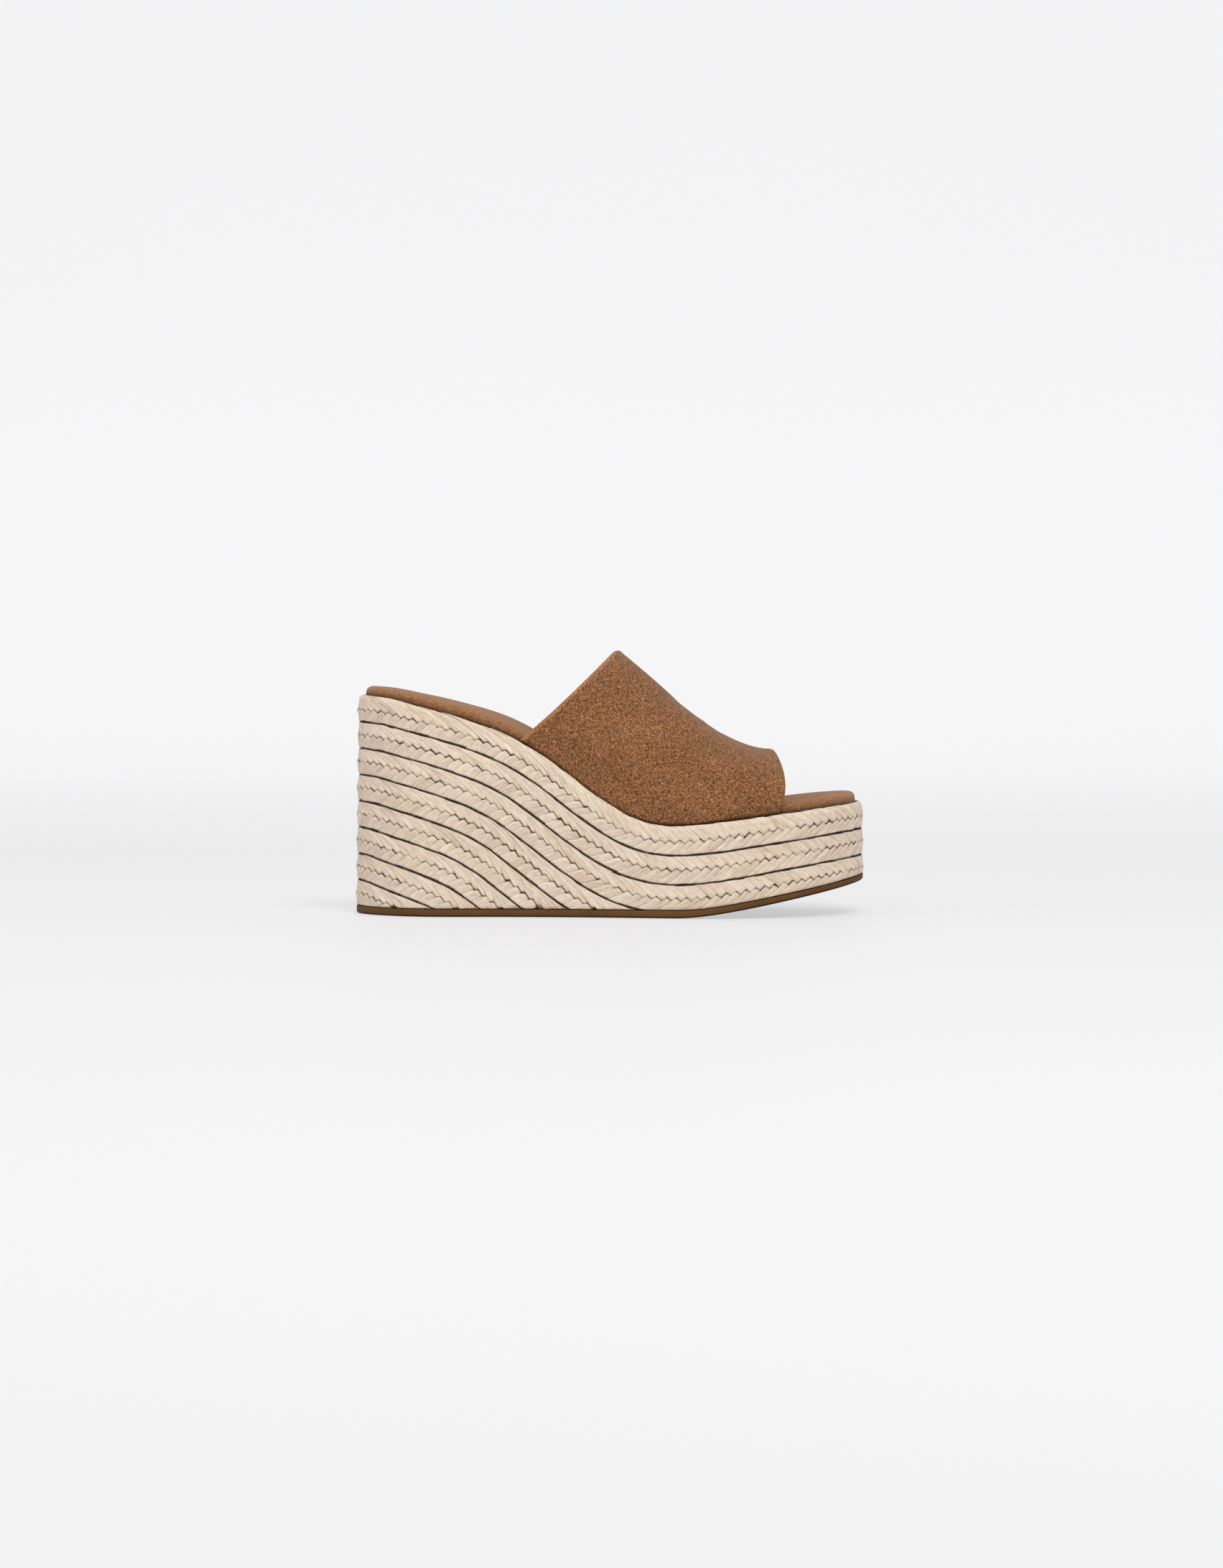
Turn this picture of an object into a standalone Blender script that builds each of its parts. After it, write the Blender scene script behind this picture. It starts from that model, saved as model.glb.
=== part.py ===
"""Right wedge slide: one suede band over a padded footbed, on a wedge wrapped in braided jute.

Metres. +X points to the toe, +Y to the inner side of the foot and +Z up. The sole stands on
z = 0, and the origin lies under the middle of the shoe's length and width.

The pieces, from the floor up, are a thin rubber outsole, a wedge core, flat braids of jute
wrapped round the core in rows, the band whose two ends are tucked between the core and the
top row, and the padded footbed. The braids are laid out on the side wall unrolled flat, where
each row lies at an even distance under the one above, and are then rolled round the outline.
"""
import math
from typing import NamedTuple

import bmesh
import bpy
import numpy as np

# Outline of the wall at the floor, seen from above
SHOE_LENGTH = 0.2432
BALL_WIDTH = 0.0875
WAIST_WIDTH = 0.0660
HEEL_WIDTH = 0.0660
TOE_SWING = 0.0065       # the toe's tip lies this far to the inner side

# Height of the wrap's top edge over the floor, and how the wall leans in towards it
HEEL_HEIGHT = 0.1042
BALL_HEIGHT = 0.0433
TOE_HEIGHT = 0.0532
WALL_LEAN = 0.0012       # from the floor to the top of the heel

# Outsole
SOLE_THICKNESS = 0.0036
SOLE_TOE_THICKNESS = 0.0028
SOLE_STEP_IN = 0.0004    # inside the face of the wrap
SOLE_BEVEL = 0.0008
SPRING_START = 0.1516    # from the back of the heel to where the sole leaves the floor
SPRING_SOFTNESS = 0.0200
TOE_SPRING = 0.0159

# Jute braids
BRAID_WIDTH = 0.0125     # the rows share the height of the heel, as near this width as fits
BRAID_THICKNESS = 0.0036
BRAID_ROUNDING = 0.0014  # how far a braid's edges lie behind its middle
BRAID_END = 0.0010       # a row stops where the outsole leaves this little of its width

# Padded footbed
PAD_RISE = 0.0049        # over the wrap's top edge
PAD_SINK = 0.0015        # under it
PAD_EDGE_RADIUS = 0.0030
PAD_CROWN = 0.0006
PAD_ARCH = 0.0022        # extra thickness at the arch, on the inner side
PAD_UNDERCUT = 0.0006

# Band over the foot. Places are measured along the shoe from the back of the heel.
BAND_WALL = 0.0022
BAND_TUCK = 0.0060       # how deep its ends go under the wrap's top edge
BAND_BACK_OUTER = 0.0796
BAND_BACK_INNER = 0.0811
BAND_FRONT_OUTER = 0.2018
BAND_FRONT_INNER = 0.2018
THROAT_AT = 0.1255       # top of the edge round the instep
FRONT_TOP_AT = 0.1992    # top of the edge over the toes
THROAT_RISE = 0.0431     # rises are from the wrap's top edge at the foot of the same section
INSTEP_RISE = 0.0513
FRONT_RISE = 0.0292
RIDGE_TO_INNER = 0.0040  # the instep's ridge lies off the middle, to the inner side
BAND_BULGE = 0.0018      # how far the sides stand out over their feet
THROAT_BOW = 0.0010      # how far the sides of the edge round the instep bow forwards
FRONT_BOW = 0.0034       # and those of the edge over the toes
BAND_LIP = 0.0006        # the sides rise straight this far over the wrap's edge
EDGE_ROUNDING = 0.0006   # the turned edges are half round

# Room between pieces that are glued or wedged together
FIT = 0.00032
ROW_GAP = 0.00030
SEAT_EASE = 0.0004
SEAT_RUN = 0.0090        # length over which the footbed narrows to make room for the band
SEAT_MARGIN = 0.0015

# How finely the curves are cut
HALF_STATIONS = 36
OUTLINE_STEPS = 2880
ACROSS_CELLS = 4
BAND_CELLS_ALONG = 17
BAND_CELLS_ROUND = 26
EDGE_ARC_CELLS = 3
SHARP_ANGLE = math.radians(40)


class Plan(NamedTuple):
    """A line across the outline: its place, the width that it follows, and the sideways swing."""
    along: float
    width: float
    share: float
    swing: float


class Rim(NamedTuple):
    """A height of the wrap's top edge: shares of the climb to the heel and of that to the toe."""
    along: float
    heel_climb: float
    toe_climb: float


class Pad(NamedTuple):
    """Thickness of the footbed over the wrap, and how much of the arch's extra it has."""
    along: float
    rise: float
    arch: float


class Pitch(NamedTuple):
    """Width of the braids as a share of a row's even width."""
    along: float
    share: float


class BandSection(NamedTuple):
    """A section of the band: the rise that it follows, and how square it is (2 is an ellipse)."""
    along: float
    rise: float
    share: float
    fullness: float


PLAN = [
    Plan(0.000, HEEL_WIDTH, 0.000, 0.00),
    Plan(0.060, HEEL_WIDTH, 0.700, 0.00),
    Plan(0.135, HEEL_WIDTH, 0.970, 0.00),
    Plan(0.250, HEEL_WIDTH, 1.000, -0.03),
    Plan(0.400, WAIST_WIDTH, 1.000, -0.30),
    Plan(0.500, BALL_WIDTH, 0.800, -0.50),
    Plan(0.600, BALL_WIDTH, 0.893, -0.55),
    Plan(0.680, BALL_WIDTH, 0.972, -0.38),
    Plan(0.750, BALL_WIDTH, 1.000, -0.12),
    Plan(0.820, BALL_WIDTH, 0.970, 0.19),
    Plan(0.880, BALL_WIDTH, 0.880, 0.46),
    Plan(0.940, BALL_WIDTH, 0.690, 0.73),
    Plan(0.980, BALL_WIDTH, 0.420, 0.92),
    Plan(1.000, BALL_WIDTH, 0.000, 1.00),
]

RIM = [
    Rim(0.000, 1.000, 0.00),
    Rim(0.060, 0.979, 0.00),
    Rim(0.120, 0.926, 0.00),
    Rim(0.175, 0.872, 0.00),
    Rim(0.230, 0.805, 0.00),
    Rim(0.285, 0.722, 0.00),
    Rim(0.340, 0.610, 0.00),
    Rim(0.395, 0.464, 0.00),
    Rim(0.450, 0.295, 0.00),
    Rim(0.505, 0.142, 0.00),
    Rim(0.550, 0.050, 0.00),
    Rim(0.595, 0.006, 0.00),
    Rim(0.640, 0.000, 0.01),
    Rim(0.700, 0.000, 0.14),
    Rim(0.780, 0.000, 0.38),
    Rim(0.870, 0.000, 0.66),
    Rim(0.940, 0.000, 0.86),
    Rim(1.000, 0.000, 1.00),
]

PAD = [
    Pad(0.00, 0.86, 0.00),
    Pad(0.06, 0.94, 0.00),
    Pad(0.13, 1.00, 0.05),
    Pad(0.24, 1.06, 0.45),
    Pad(0.34, 1.15, 1.00),
    Pad(0.45, 1.12, 0.90),
    Pad(0.60, 1.00, 0.20),
    Pad(0.75, 1.02, 0.00),
    Pad(0.90, 1.06, 0.00),
    Pad(1.00, 1.06, 0.00),
]

PITCH = [
    Pitch(0.00, 1.000),
    Pitch(0.05, 1.005),
    Pitch(0.12, 1.010),
    Pitch(0.25, 1.015),
    Pitch(0.38, 1.010),
    Pitch(0.48, 1.020),
    Pitch(0.57, 1.075),
    Pitch(0.66, 1.095),
    Pitch(0.77, 1.060),
    Pitch(0.88, 1.025),
    Pitch(1.00, 1.000),
]

BAND = [
    BandSection(0.000, THROAT_RISE, 1.000, 2.00),
    BandSection(0.125, INSTEP_RISE, 0.887, 2.00),
    BandSection(0.250, INSTEP_RISE, 0.961, 2.02),
    BandSection(0.375, INSTEP_RISE, 1.000, 2.05),
    BandSection(0.500, INSTEP_RISE, 0.971, 2.10),
    BandSection(0.625, INSTEP_RISE, 0.863, 2.16),
    BandSection(0.750, FRONT_RISE, 1.300, 2.22),
    BandSection(0.875, FRONT_RISE, 1.120, 2.28),
    BandSection(1.000, FRONT_RISE, 1.000, 2.32),
]


class Finish(NamedTuple):
    """Plain colour, roughness and metallic value of a piece."""
    name: str
    colour: tuple
    roughness: float
    metallic: float = 0.0


JUTE = Finish("jute", (0.62, 0.49, 0.36), 0.9)
SUEDE = Finish("suede", (0.26, 0.115, 0.050), 0.95)
PAD_SUEDE = Finish("pad_suede", (0.33, 0.17, 0.085), 0.95)
RUBBER = Finish("brown_rubber", (0.13, 0.062, 0.028), 0.6)
FOAM = Finish("wedge_foam", (0.55, 0.45, 0.33), 0.8)


def smooth_through(at, values):
    """A natural cubic spline through the points, as a function of an array."""
    at = np.asarray(at, float)
    values = np.asarray(values, float)
    step = np.diff(at)
    count = len(at)
    matrix = np.eye(count)
    right = np.zeros(count)
    for i in range(1, count - 1):
        matrix[i, i - 1:i + 2] = step[i - 1], 2 * (step[i - 1] + step[i]), step[i]
        right[i] = 6 * ((values[i + 1] - values[i]) / step[i] - (values[i] - values[i - 1]) / step[i - 1])
    bend = np.linalg.solve(matrix, right)

    def curve(where):
        where = np.clip(where, at[0], at[-1])
        i = np.clip(np.searchsorted(at, where) - 1, 0, count - 2)
        before, after = where - at[i], at[i + 1] - where
        return (bend[i] * after ** 3 + bend[i + 1] * before ** 3) / (6 * step[i]) \
            + (values[i] / step[i] - bend[i] * step[i] / 6) * after \
            + (values[i + 1] / step[i] - bend[i + 1] * step[i] / 6) * before

    return curve


def turn_of(along):
    """The angle, 0 at the heel and pi at the toe, whose cosine gives a share of the length."""
    return np.arccos(np.clip(1 - 2 * np.asarray(along), -1, 1))


half_width = smooth_through([turn_of(row.along) for row in PLAN],
                            [row.width * row.share / 2 for row in PLAN])
swing = smooth_through([row.along for row in PLAN], [TOE_SWING * row.swing for row in PLAN])
rim_height = smooth_through(
    [row.along for row in RIM],
    [BALL_HEIGHT + row.heel_climb * (HEEL_HEIGHT - BALL_HEIGHT) + row.toe_climb * (TOE_HEIGHT - BALL_HEIGHT)
     for row in RIM])
pad_rise = smooth_through([row.along for row in PAD], [PAD_RISE * row.rise for row in PAD])
pad_arch = smooth_through([row.along for row in PAD], [PAD_ARCH * row.arch for row in PAD])
pitch_share = smooth_through([row.along for row in PITCH], [row.share for row in PITCH])
band_rise = smooth_through([row.along for row in BAND], [row.rise * row.share for row in BAND])
band_fullness = smooth_through([row.along for row in BAND], [row.fullness for row in BAND])


def share_along(x):
    """Share of the shoe's length, from the heel, of a place on the X axis."""
    return np.clip(np.asarray(x) / SHOE_LENGTH + 0.5, 0, 1)


def rim_z(x):
    """Height of the wrap's top edge."""
    return rim_height(share_along(x))


def ground_z(x):
    """Underside of the outsole: flat, then a soft bend into the straight toe spring."""
    past = np.maximum(np.asarray(x) + SHOE_LENGTH / 2 - SPRING_START, 0)
    reach = SHOE_LENGTH - SPRING_START
    ramp = np.hypot(past, SPRING_SOFTNESS) - SPRING_SOFTNESS
    return TOE_SPRING * ramp / (math.hypot(reach, SPRING_SOFTNESS) - SPRING_SOFTNESS)


def sole_top_z(x):
    """Upper side of the outsole, which thins along the toe spring."""
    sprung = np.clip((np.asarray(x) + SHOE_LENGTH / 2 - SPRING_START) / (SHOE_LENGTH - SPRING_START), 0, 1)
    return ground_z(x) + SOLE_THICKNESS + (SOLE_TOE_THICKNESS - SOLE_THICKNESS) * sprung


class Outline:
    """The wall's outline at the floor as a closed path, outer side first, measured from the heel."""

    def __init__(self):
        turn = np.linspace(0, 2 * math.pi, OUTLINE_STEPS, endpoint=False)
        x = -SHOE_LENGTH / 2 * np.cos(turn)
        to_inner = np.where(turn < math.pi, -1, 1)
        y = swing(share_along(x)) + to_inner * half_width(np.minimum(turn, 2 * math.pi - turn))
        y -= (y.max() + y.min()) / 2
        ahead_x, ahead_y = np.roll(x, -1) - np.roll(x, 1), np.roll(y, -1) - np.roll(y, 1)
        size = np.hypot(ahead_x, ahead_y)
        steps = np.hypot(np.roll(x, -1) - x, np.roll(y, -1) - y)
        self.length = steps.sum()
        self.toe_at = steps[:OUTLINE_STEPS // 2].sum()
        self.at = np.concatenate([[0], np.cumsum(steps)])
        self.turn = np.append(turn, 2 * math.pi)
        self.columns = [np.append(c, c[0]) for c in (x, y, ahead_y / size, -ahead_x / size)]

    def station(self, turn):
        """Distance along the path of an angle."""
        return np.interp(turn, self.turn, self.at)

    def place(self, at, z, depth):
        """Points on the wall at distances along the path, heights, and depths behind its face."""
        x, y, out_x, out_y = (np.interp(np.mod(at, self.length), self.at, c) for c in self.columns)
        out = -depth - WALL_LEAN * z / HEEL_HEIGHT
        return np.stack(np.broadcast_arrays(x + out_x * out, y + out_y * out, z), axis=-1)

    def side_station(self, x, inner):
        """Distance along the path of a place on the X axis, on the inner or the outer side."""
        turn = turn_of(share_along(x))
        return self.station(2 * math.pi - turn if inner else turn)

    def x_at(self, at):
        """Place on the X axis of a distance along the path."""
        return np.interp(np.mod(at, self.length), self.at, self.columns[0])


OUTLINE = Outline()


def make_object(name, vertices, faces, finish):
    """A closed mesh object with its faces pointing out and its own material."""
    mesh = bpy.data.meshes.new(name)
    mesh.from_pydata(np.asarray(vertices).tolist(), [], faces)
    work = bmesh.new()
    work.from_mesh(mesh)
    bmesh.ops.recalc_face_normals(work, faces=work.faces)
    work.to_mesh(mesh)
    work.free()
    mesh.shade_smooth()
    mesh.set_sharp_from_angle(angle=SHARP_ANGLE)
    material = bpy.data.materials.new(f"{name}_{finish.name}")
    material.use_nodes = True
    shader = material.node_tree.nodes["Principled BSDF"]
    shader.inputs["Base Color"].default_value = (*finish.colour, 1)
    shader.inputs["Roughness"].default_value = finish.roughness
    shader.inputs["Metallic"].default_value = finish.metallic
    mesh.materials.append(material)
    piece = bpy.data.objects.new(name, mesh)
    bpy.context.scene.collection.objects.link(piece)
    return piece


def bridge(first, second, count, closed=True):
    """Quads between two rings or lines of vertices that start at the two given numbers."""
    last = count if closed else count - 1
    return [(first + i, first + (i + 1) % count, second + (i + 1) % count, second + i) for i in range(last)]


def lid(ring, vertices, surface_z):
    """Fill a ring of the outline with cells from side to side, and return the new faces.

    The ring's vertices run from the heel along the outer side to the toe and back, so the
    i-th from the heel lies opposite the i-th from the end. The points between them take their
    height from surface_z, a function of x, y and the share of the way across.
    """
    lines = []
    for i in range(1, HALF_STATIONS):
        outer, inner = vertices[ring + i], vertices[ring + 2 * HALF_STATIONS - i]
        start = len(vertices)
        for cell in range(1, ACROSS_CELLS):
            x, y, _ = outer + (inner - outer) * cell / ACROSS_CELLS
            vertices.append(np.array([x, y, surface_z(x, y, cell / ACROSS_CELLS)]))
        lines.append([ring + i, *range(start, start + ACROSS_CELLS - 1), ring + 2 * HALF_STATIONS - i])
    faces = []
    for before, after in zip(lines, lines[1:]):
        faces += [(before[i], before[i + 1], after[i + 1], after[i]) for i in range(ACROSS_CELLS)]
    for tip, line in ((ring, lines[0]), (ring + HALF_STATIONS, lines[-1])):
        faces += [(tip, line[i], line[i + 1]) for i in range(ACROSS_CELLS)]
    return faces


def ring_stations():
    """Distances along the outline of the rings' vertices, the same on both sides."""
    return OUTLINE.station(np.arange(2 * HALF_STATIONS) * math.pi / HALF_STATIONS)


def ring(height, depth):
    """A ring of points at a depth in the wall. Height is a function of x at that depth."""
    stations = ring_stations()
    flat = OUTLINE.place(stations, 0, depth)
    return OUTLINE.place(stations, height(flat[:, 0]), depth)


def stack(name, rings, top_z, bottom_z, finish):
    """A solid from rings that go up its side, closed below and above by lids."""
    vertices = [point for points in rings for point in points]
    size = 2 * HALF_STATIONS
    faces = []
    for i in range(len(rings) - 1):
        faces += bridge(i * size, (i + 1) * size, size)
    faces += lid(0, vertices, bottom_z)
    faces += lid((len(rings) - 1) * size, vertices, top_z)
    return make_object(name, vertices, faces, finish)


def seat_depth():
    """Depth of the footbed's edge behind the wall's face: more where the band lies outside it."""
    stations = ring_stations()
    back = np.where(stations < OUTLINE.toe_at, BAND_BACK_OUTER, BAND_BACK_INNER)
    front = np.where(stations < OUTLINE.toe_at, BAND_FRONT_OUTER, BAND_FRONT_INNER)
    from_heel = OUTLINE.x_at(stations) + SHOE_LENGTH / 2
    inside = np.minimum(from_heel - back, front - from_heel) + SEAT_MARGIN + SEAT_RUN
    way = np.clip(inside / SEAT_RUN, 0, 1)
    return BRAID_THICKNESS + FIT + (BAND_WALL + FIT) * way * way * (3 - 2 * way)


def make_outsole():
    """The thin rubber outsole, flush with the wrap and bevelled along the floor."""
    rings = [
        ring(ground_z, SOLE_STEP_IN + SOLE_BEVEL),
        ring(lambda x: ground_z(x) + SOLE_BEVEL, SOLE_STEP_IN),
        ring(sole_top_z, SOLE_STEP_IN),
    ]
    return stack("outsole", rings, lambda x, y, across: sole_top_z(x),
                 lambda x, y, across: ground_z(x), RUBBER)


def make_core():
    """The wedge that the braids are wrapped on, with a ledge below the band's tucked ends."""
    wide = BRAID_THICKNESS + FIT
    narrow = seat_depth() + SEAT_EASE

    def bottom(x):
        return sole_top_z(x) + FIT

    def ledge(x):
        return rim_z(x) - BAND_TUCK - FIT

    def top(x):
        return rim_z(x) - PAD_SINK - FIT

    rings = [ring(bottom, wide), ring(ledge, wide), ring(ledge, narrow), ring(top, narrow)]
    return stack("wedge_core", rings, lambda x, y, across: top(x),
                 lambda x, y, across: bottom(x), FOAM)


def make_insole():
    """The padded footbed: an upright side with a rounded top edge and a slightly crowned top."""
    edge = seat_depth()
    stations = ring_stations()
    inner_share = np.where(stations > OUTLINE.toe_at, 1.0, 0.0)

    def bottom(x):
        return rim_z(x) - PAD_SINK

    def top(x, y, across):
        along = share_along(x)
        crown = PAD_CROWN * 4 * across * (1 - across) * np.sin(turn_of(along))
        return rim_z(x) + pad_rise(along) + crown + pad_arch(along) * across * across

    def side_top(x):
        along = share_along(x)
        return rim_z(x) + pad_rise(along) + pad_arch(along) * inner_share

    rings = [ring(bottom, edge + PAD_UNDERCUT), ring(lambda x: bottom(x) + PAD_UNDERCUT, edge)]
    for i in range(EDGE_ARC_CELLS + 1):
        turn = math.pi / 2 * i / EDGE_ARC_CELLS
        drop = PAD_EDGE_RADIUS * (1 - math.sin(turn))
        rings.append(ring(lambda x, drop=drop: side_top(x) - drop,
                          edge + PAD_EDGE_RADIUS * (1 - math.cos(turn))))
    return stack("insole", rings, top, lambda x, y, across: bottom(x), PAD_SUEDE)


class Rows:
    """The braids on the unrolled wall: each row an even step under the wrap's top edge."""

    OUTER_CUTS = (0.0, 0.13, 0.5, 0.87, 1.0)

    def __init__(self):
        height = HEEL_HEIGHT - SOLE_THICKNESS - FIT
        self.count = max(1, round(height / BRAID_WIDTH))
        self.even_pitch = height / self.count

    def slope(self, at):
        """Angle of the top edge on the unrolled wall."""
        step = OUTLINE.length / OUTLINE_STEPS
        climb = rim_z(OUTLINE.x_at(at + step)) - rim_z(OUTLINE.x_at(at - step))
        return np.arctan2(climb, 2 * step)

    def pitch(self, at):
        """Distance between two rows at a place along the top edge."""
        return self.even_pitch * pitch_share(share_along(OUTLINE.x_at(at)))

    def below(self, at, distance, depth):
        """Point at a distance square to the top edge, measured on the unrolled wall."""
        slope = self.slope(at)
        z = rim_z(OUTLINE.x_at(at)) - distance * np.cos(slope)
        return OUTLINE.place(at + distance * np.sin(slope), z, depth)

    def room(self, at):
        """Distance square to the top edge down to the outsole."""
        slope = self.slope(at)
        room = np.zeros_like(at)
        for _ in range(12):
            under = self.below(at, room, 0.0)[..., 0]
            room = (rim_z(OUTLINE.x_at(at)) - sole_top_z(under) - FIT) / np.cos(slope)
        return room

    def band_of(self, row, at):
        """Top and bottom distance of a row, and the room that the outsole leaves it."""
        pitch = self.pitch(at)
        first = row * pitch + (ROW_GAP / 2 if row else 0)
        return first, (row + 1) * pitch - ROW_GAP / 2, self.room(at)

    def runs(self, row):
        """Stretches of the outline where the row is there: one closed run, or open ones."""
        at = np.linspace(0, OUTLINE.length, OUTLINE_STEPS, endpoint=False)
        first, _, room = self.band_of(row, at)
        there = room - first > BRAID_END
        if there.all():
            return [(0.0, OUTLINE.length, True)]
        starts = [i for i in range(OUTLINE_STEPS) if there[i] and not there[i - 1]]
        found = []
        for start in starts:
            end = start
            while there[(end + 1) % OUTLINE_STEPS]:
                end += 1
            step = OUTLINE.length / OUTLINE_STEPS
            found.append((start * step, end * step, False))
        return found

    def stations(self, start, end, closed):
        """Places along a run, closer together where the outline turns."""
        if closed:
            return ring_stations()
        every = ring_stations()
        every = np.concatenate([every, every + OUTLINE.length])
        apart = OUTLINE.length / len(ring_stations()) / 3
        inside = every[(every > start + apart) & (every < end - apart)]
        return np.concatenate([[start], inside, [end]])

    def make(self, name, row, start, end, closed):
        """One row as a solid strip: a domed face outside, a plain one inside, cut by the outsole."""
        at = self.stations(start, end, closed)
        first, last, room = self.band_of(row, at)
        share = np.clip((room - first) / (last - first), 0, 1)
        sections = []
        for cut in self.OUTER_CUTS:
            across = cut * share
            dome = BRAID_ROUNDING * np.abs(2 * across - 1) ** 4
            sections.append(self.below(at, first + across * (last - first), dome))
        for across in (share, 0 * share):
            sections.append(self.below(at, first + across * (last - first), BRAID_THICKNESS))
        rings = np.stack(sections, axis=1)
        count, size, _ = rings.shape
        faces = []
        for i in range(count if closed else count - 1):
            faces += bridge(i * size, (i + 1) % count * size, size)
        if not closed:
            faces += [tuple(range(size)), tuple(range((count - 1) * size, count * size))]
        return make_object(name, rings.reshape(-1, 3), faces, JUTE)


def make_braids():
    """All rows from the top one down, each a piece of its own."""
    rows = Rows()
    for row in range(rows.count + 1):
        for i, (start, end, closed) in enumerate(rows.runs(row)):
            name = f"braid_row_{row + 1}" + (f"_part_{i + 1}" if i else "")
            rows.make(name, row, start, end, closed)


def band_side(at, x, ridge, way, inner):
    """Half of a section, from its tucked foot up to the ridge, as outer points."""
    rise_share = np.sin(way * math.pi / 2) ** (2 / ridge["fullness"])
    out_share = np.cos(way * math.pi / 2) ** (2 / ridge["fullness"])
    foot_z = float(rim_z(x)) + BAND_LIP
    foot = OUTLINE.place(at, foot_z, BRAID_THICKNESS + FIT)
    swell = 4 * rise_share * (1 - rise_share)
    side = 1 if inner else -1
    arch = np.stack([
        foot[0] + (ridge["x"] - foot[0]) * rise_share + ridge["bow"] * swell,
        ridge["y"] + (foot[1] - ridge["y"]) * out_share + side * BAND_BULGE * swell,
        foot_z + (ridge["z"] - foot_z) * rise_share,
    ], axis=-1)
    tuck = OUTLINE.place(at, float(rim_z(x)) - BAND_TUCK, BRAID_THICKNESS + FIT)
    return np.vstack([tuck, arch])


def band_section(along):
    """Outer points of a whole section of the band, from the outer foot to the inner one."""
    back_x = np.array([BAND_BACK_OUTER, BAND_BACK_INNER])
    front_x = np.array([BAND_FRONT_OUTER, BAND_FRONT_INNER])
    outer_x, inner_x = back_x + (front_x - back_x) * along - SHOE_LENGTH / 2
    ridge_x = THROAT_AT + (FRONT_TOP_AT - THROAT_AT) * along - SHOE_LENGTH / 2
    middle = (OUTLINE.place(OUTLINE.side_station(ridge_x, False), 0, 0)[1]
              + OUTLINE.place(OUTLINE.side_station(ridge_x, True), 0, 0)[1]) / 2
    ridge = {
        "x": ridge_x,
        "y": middle + RIDGE_TO_INNER * (1 - along),
        "z": float(rim_z(outer_x) + band_rise(along)),
        "fullness": float(band_fullness(along)),
        "bow": THROAT_BOW + (FRONT_BOW - THROAT_BOW) * along,
    }
    way = np.linspace(0, 1, BAND_CELLS_ROUND // 2 + 1)
    outer = band_side(OUTLINE.side_station(outer_x, False), outer_x, ridge, way, False)
    inner = band_side(OUTLINE.side_station(inner_x, True), inner_x, ridge, way, True)
    return np.vstack([outer, inner[-2::-1]])


def grid_normals(grid):
    """Outward unit normals of a grid of points whose first axis runs over the foot."""
    over = np.gradient(grid, axis=0)
    along = np.gradient(grid, axis=1)
    normal = np.cross(along, over)
    normal /= np.linalg.norm(normal, axis=-1, keepdims=True)
    return normal


def make_upper():
    """The band: one wall of even thickness over the foot, open to the heel and to the toes."""
    shares = np.linspace(0, 1, BAND_CELLS_ALONG + 1)
    outer = np.stack([band_section(along) for along in shares], axis=1)
    normal = grid_normals(outer)
    flat = normal[[0, 1, -2, -1]] * (1, 1, 0)
    normal[[0, 1, -2, -1]] = flat / np.linalg.norm(flat, axis=-1, keepdims=True)
    inner = outer - BAND_WALL * normal
    middle = (outer + inner) / 2

    def edge(end, beside):
        run = middle[:, end] - middle[:, beside]
        return middle[:, end] + EDGE_ROUNDING * run / np.linalg.norm(run, axis=-1, keepdims=True)

    loops = np.concatenate([outer, edge(-1, -2)[:, None], inner[:, ::-1], edge(0, 1)[:, None]], axis=1)
    count, size, _ = loops.shape
    faces = []
    for i in range(count - 1):
        faces += bridge(i * size, (i + 1) * size, size)
    across = BAND_CELLS_ALONG + 1
    for start in (0, (count - 1) * size):
        top, front, back = start, start + across, start + size - 1
        faces += [(top + i, top + i + 1, back - 2 - i, back - 1 - i) for i in range(across - 1)]
        faces += [(top + across - 1, front, front + 1), (top, back - 1, back)]
    return make_object("upper", loops.reshape(-1, 3), faces, SUEDE)


def main():
    """Clear the scene and build the shoe from the floor up."""
    for old in list(bpy.data.objects):
        bpy.data.objects.remove(old, do_unlink=True)
    make_outsole()
    make_core()
    make_braids()
    make_insole()
    make_upper()


main()
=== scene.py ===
"""Looks of a right wedge slide: braided jute, a suede band and footbed, a rubber sole, a pale studio.

Metres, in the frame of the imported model: +X to the toe, +Y to the inner side, +Z up. The shapes
repeat the solids' own outline and heights, much finer. Each braid is laid strand by strand on the
side wall unrolled flat and is then rolled round the outline.
"""
import logging
import math
from dataclasses import dataclass, field
from enum import Enum
from operator import attrgetter, itemgetter
from typing import Callable, NamedTuple, Sequence

import bmesh
import bpy
import numpy as np
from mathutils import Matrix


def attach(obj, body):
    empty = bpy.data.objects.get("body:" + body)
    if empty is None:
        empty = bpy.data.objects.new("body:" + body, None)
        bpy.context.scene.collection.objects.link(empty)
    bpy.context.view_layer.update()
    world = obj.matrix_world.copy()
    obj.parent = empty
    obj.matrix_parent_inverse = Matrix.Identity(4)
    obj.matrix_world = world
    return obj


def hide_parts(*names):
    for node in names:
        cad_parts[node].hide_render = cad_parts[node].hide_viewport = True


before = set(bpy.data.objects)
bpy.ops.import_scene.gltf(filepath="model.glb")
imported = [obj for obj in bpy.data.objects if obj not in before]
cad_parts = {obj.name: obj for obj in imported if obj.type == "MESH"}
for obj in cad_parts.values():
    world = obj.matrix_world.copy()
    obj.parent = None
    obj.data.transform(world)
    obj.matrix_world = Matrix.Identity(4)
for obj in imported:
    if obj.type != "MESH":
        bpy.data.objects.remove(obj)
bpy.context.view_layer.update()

WRAP = 0.0036               # thickness of the jute wrap
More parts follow.
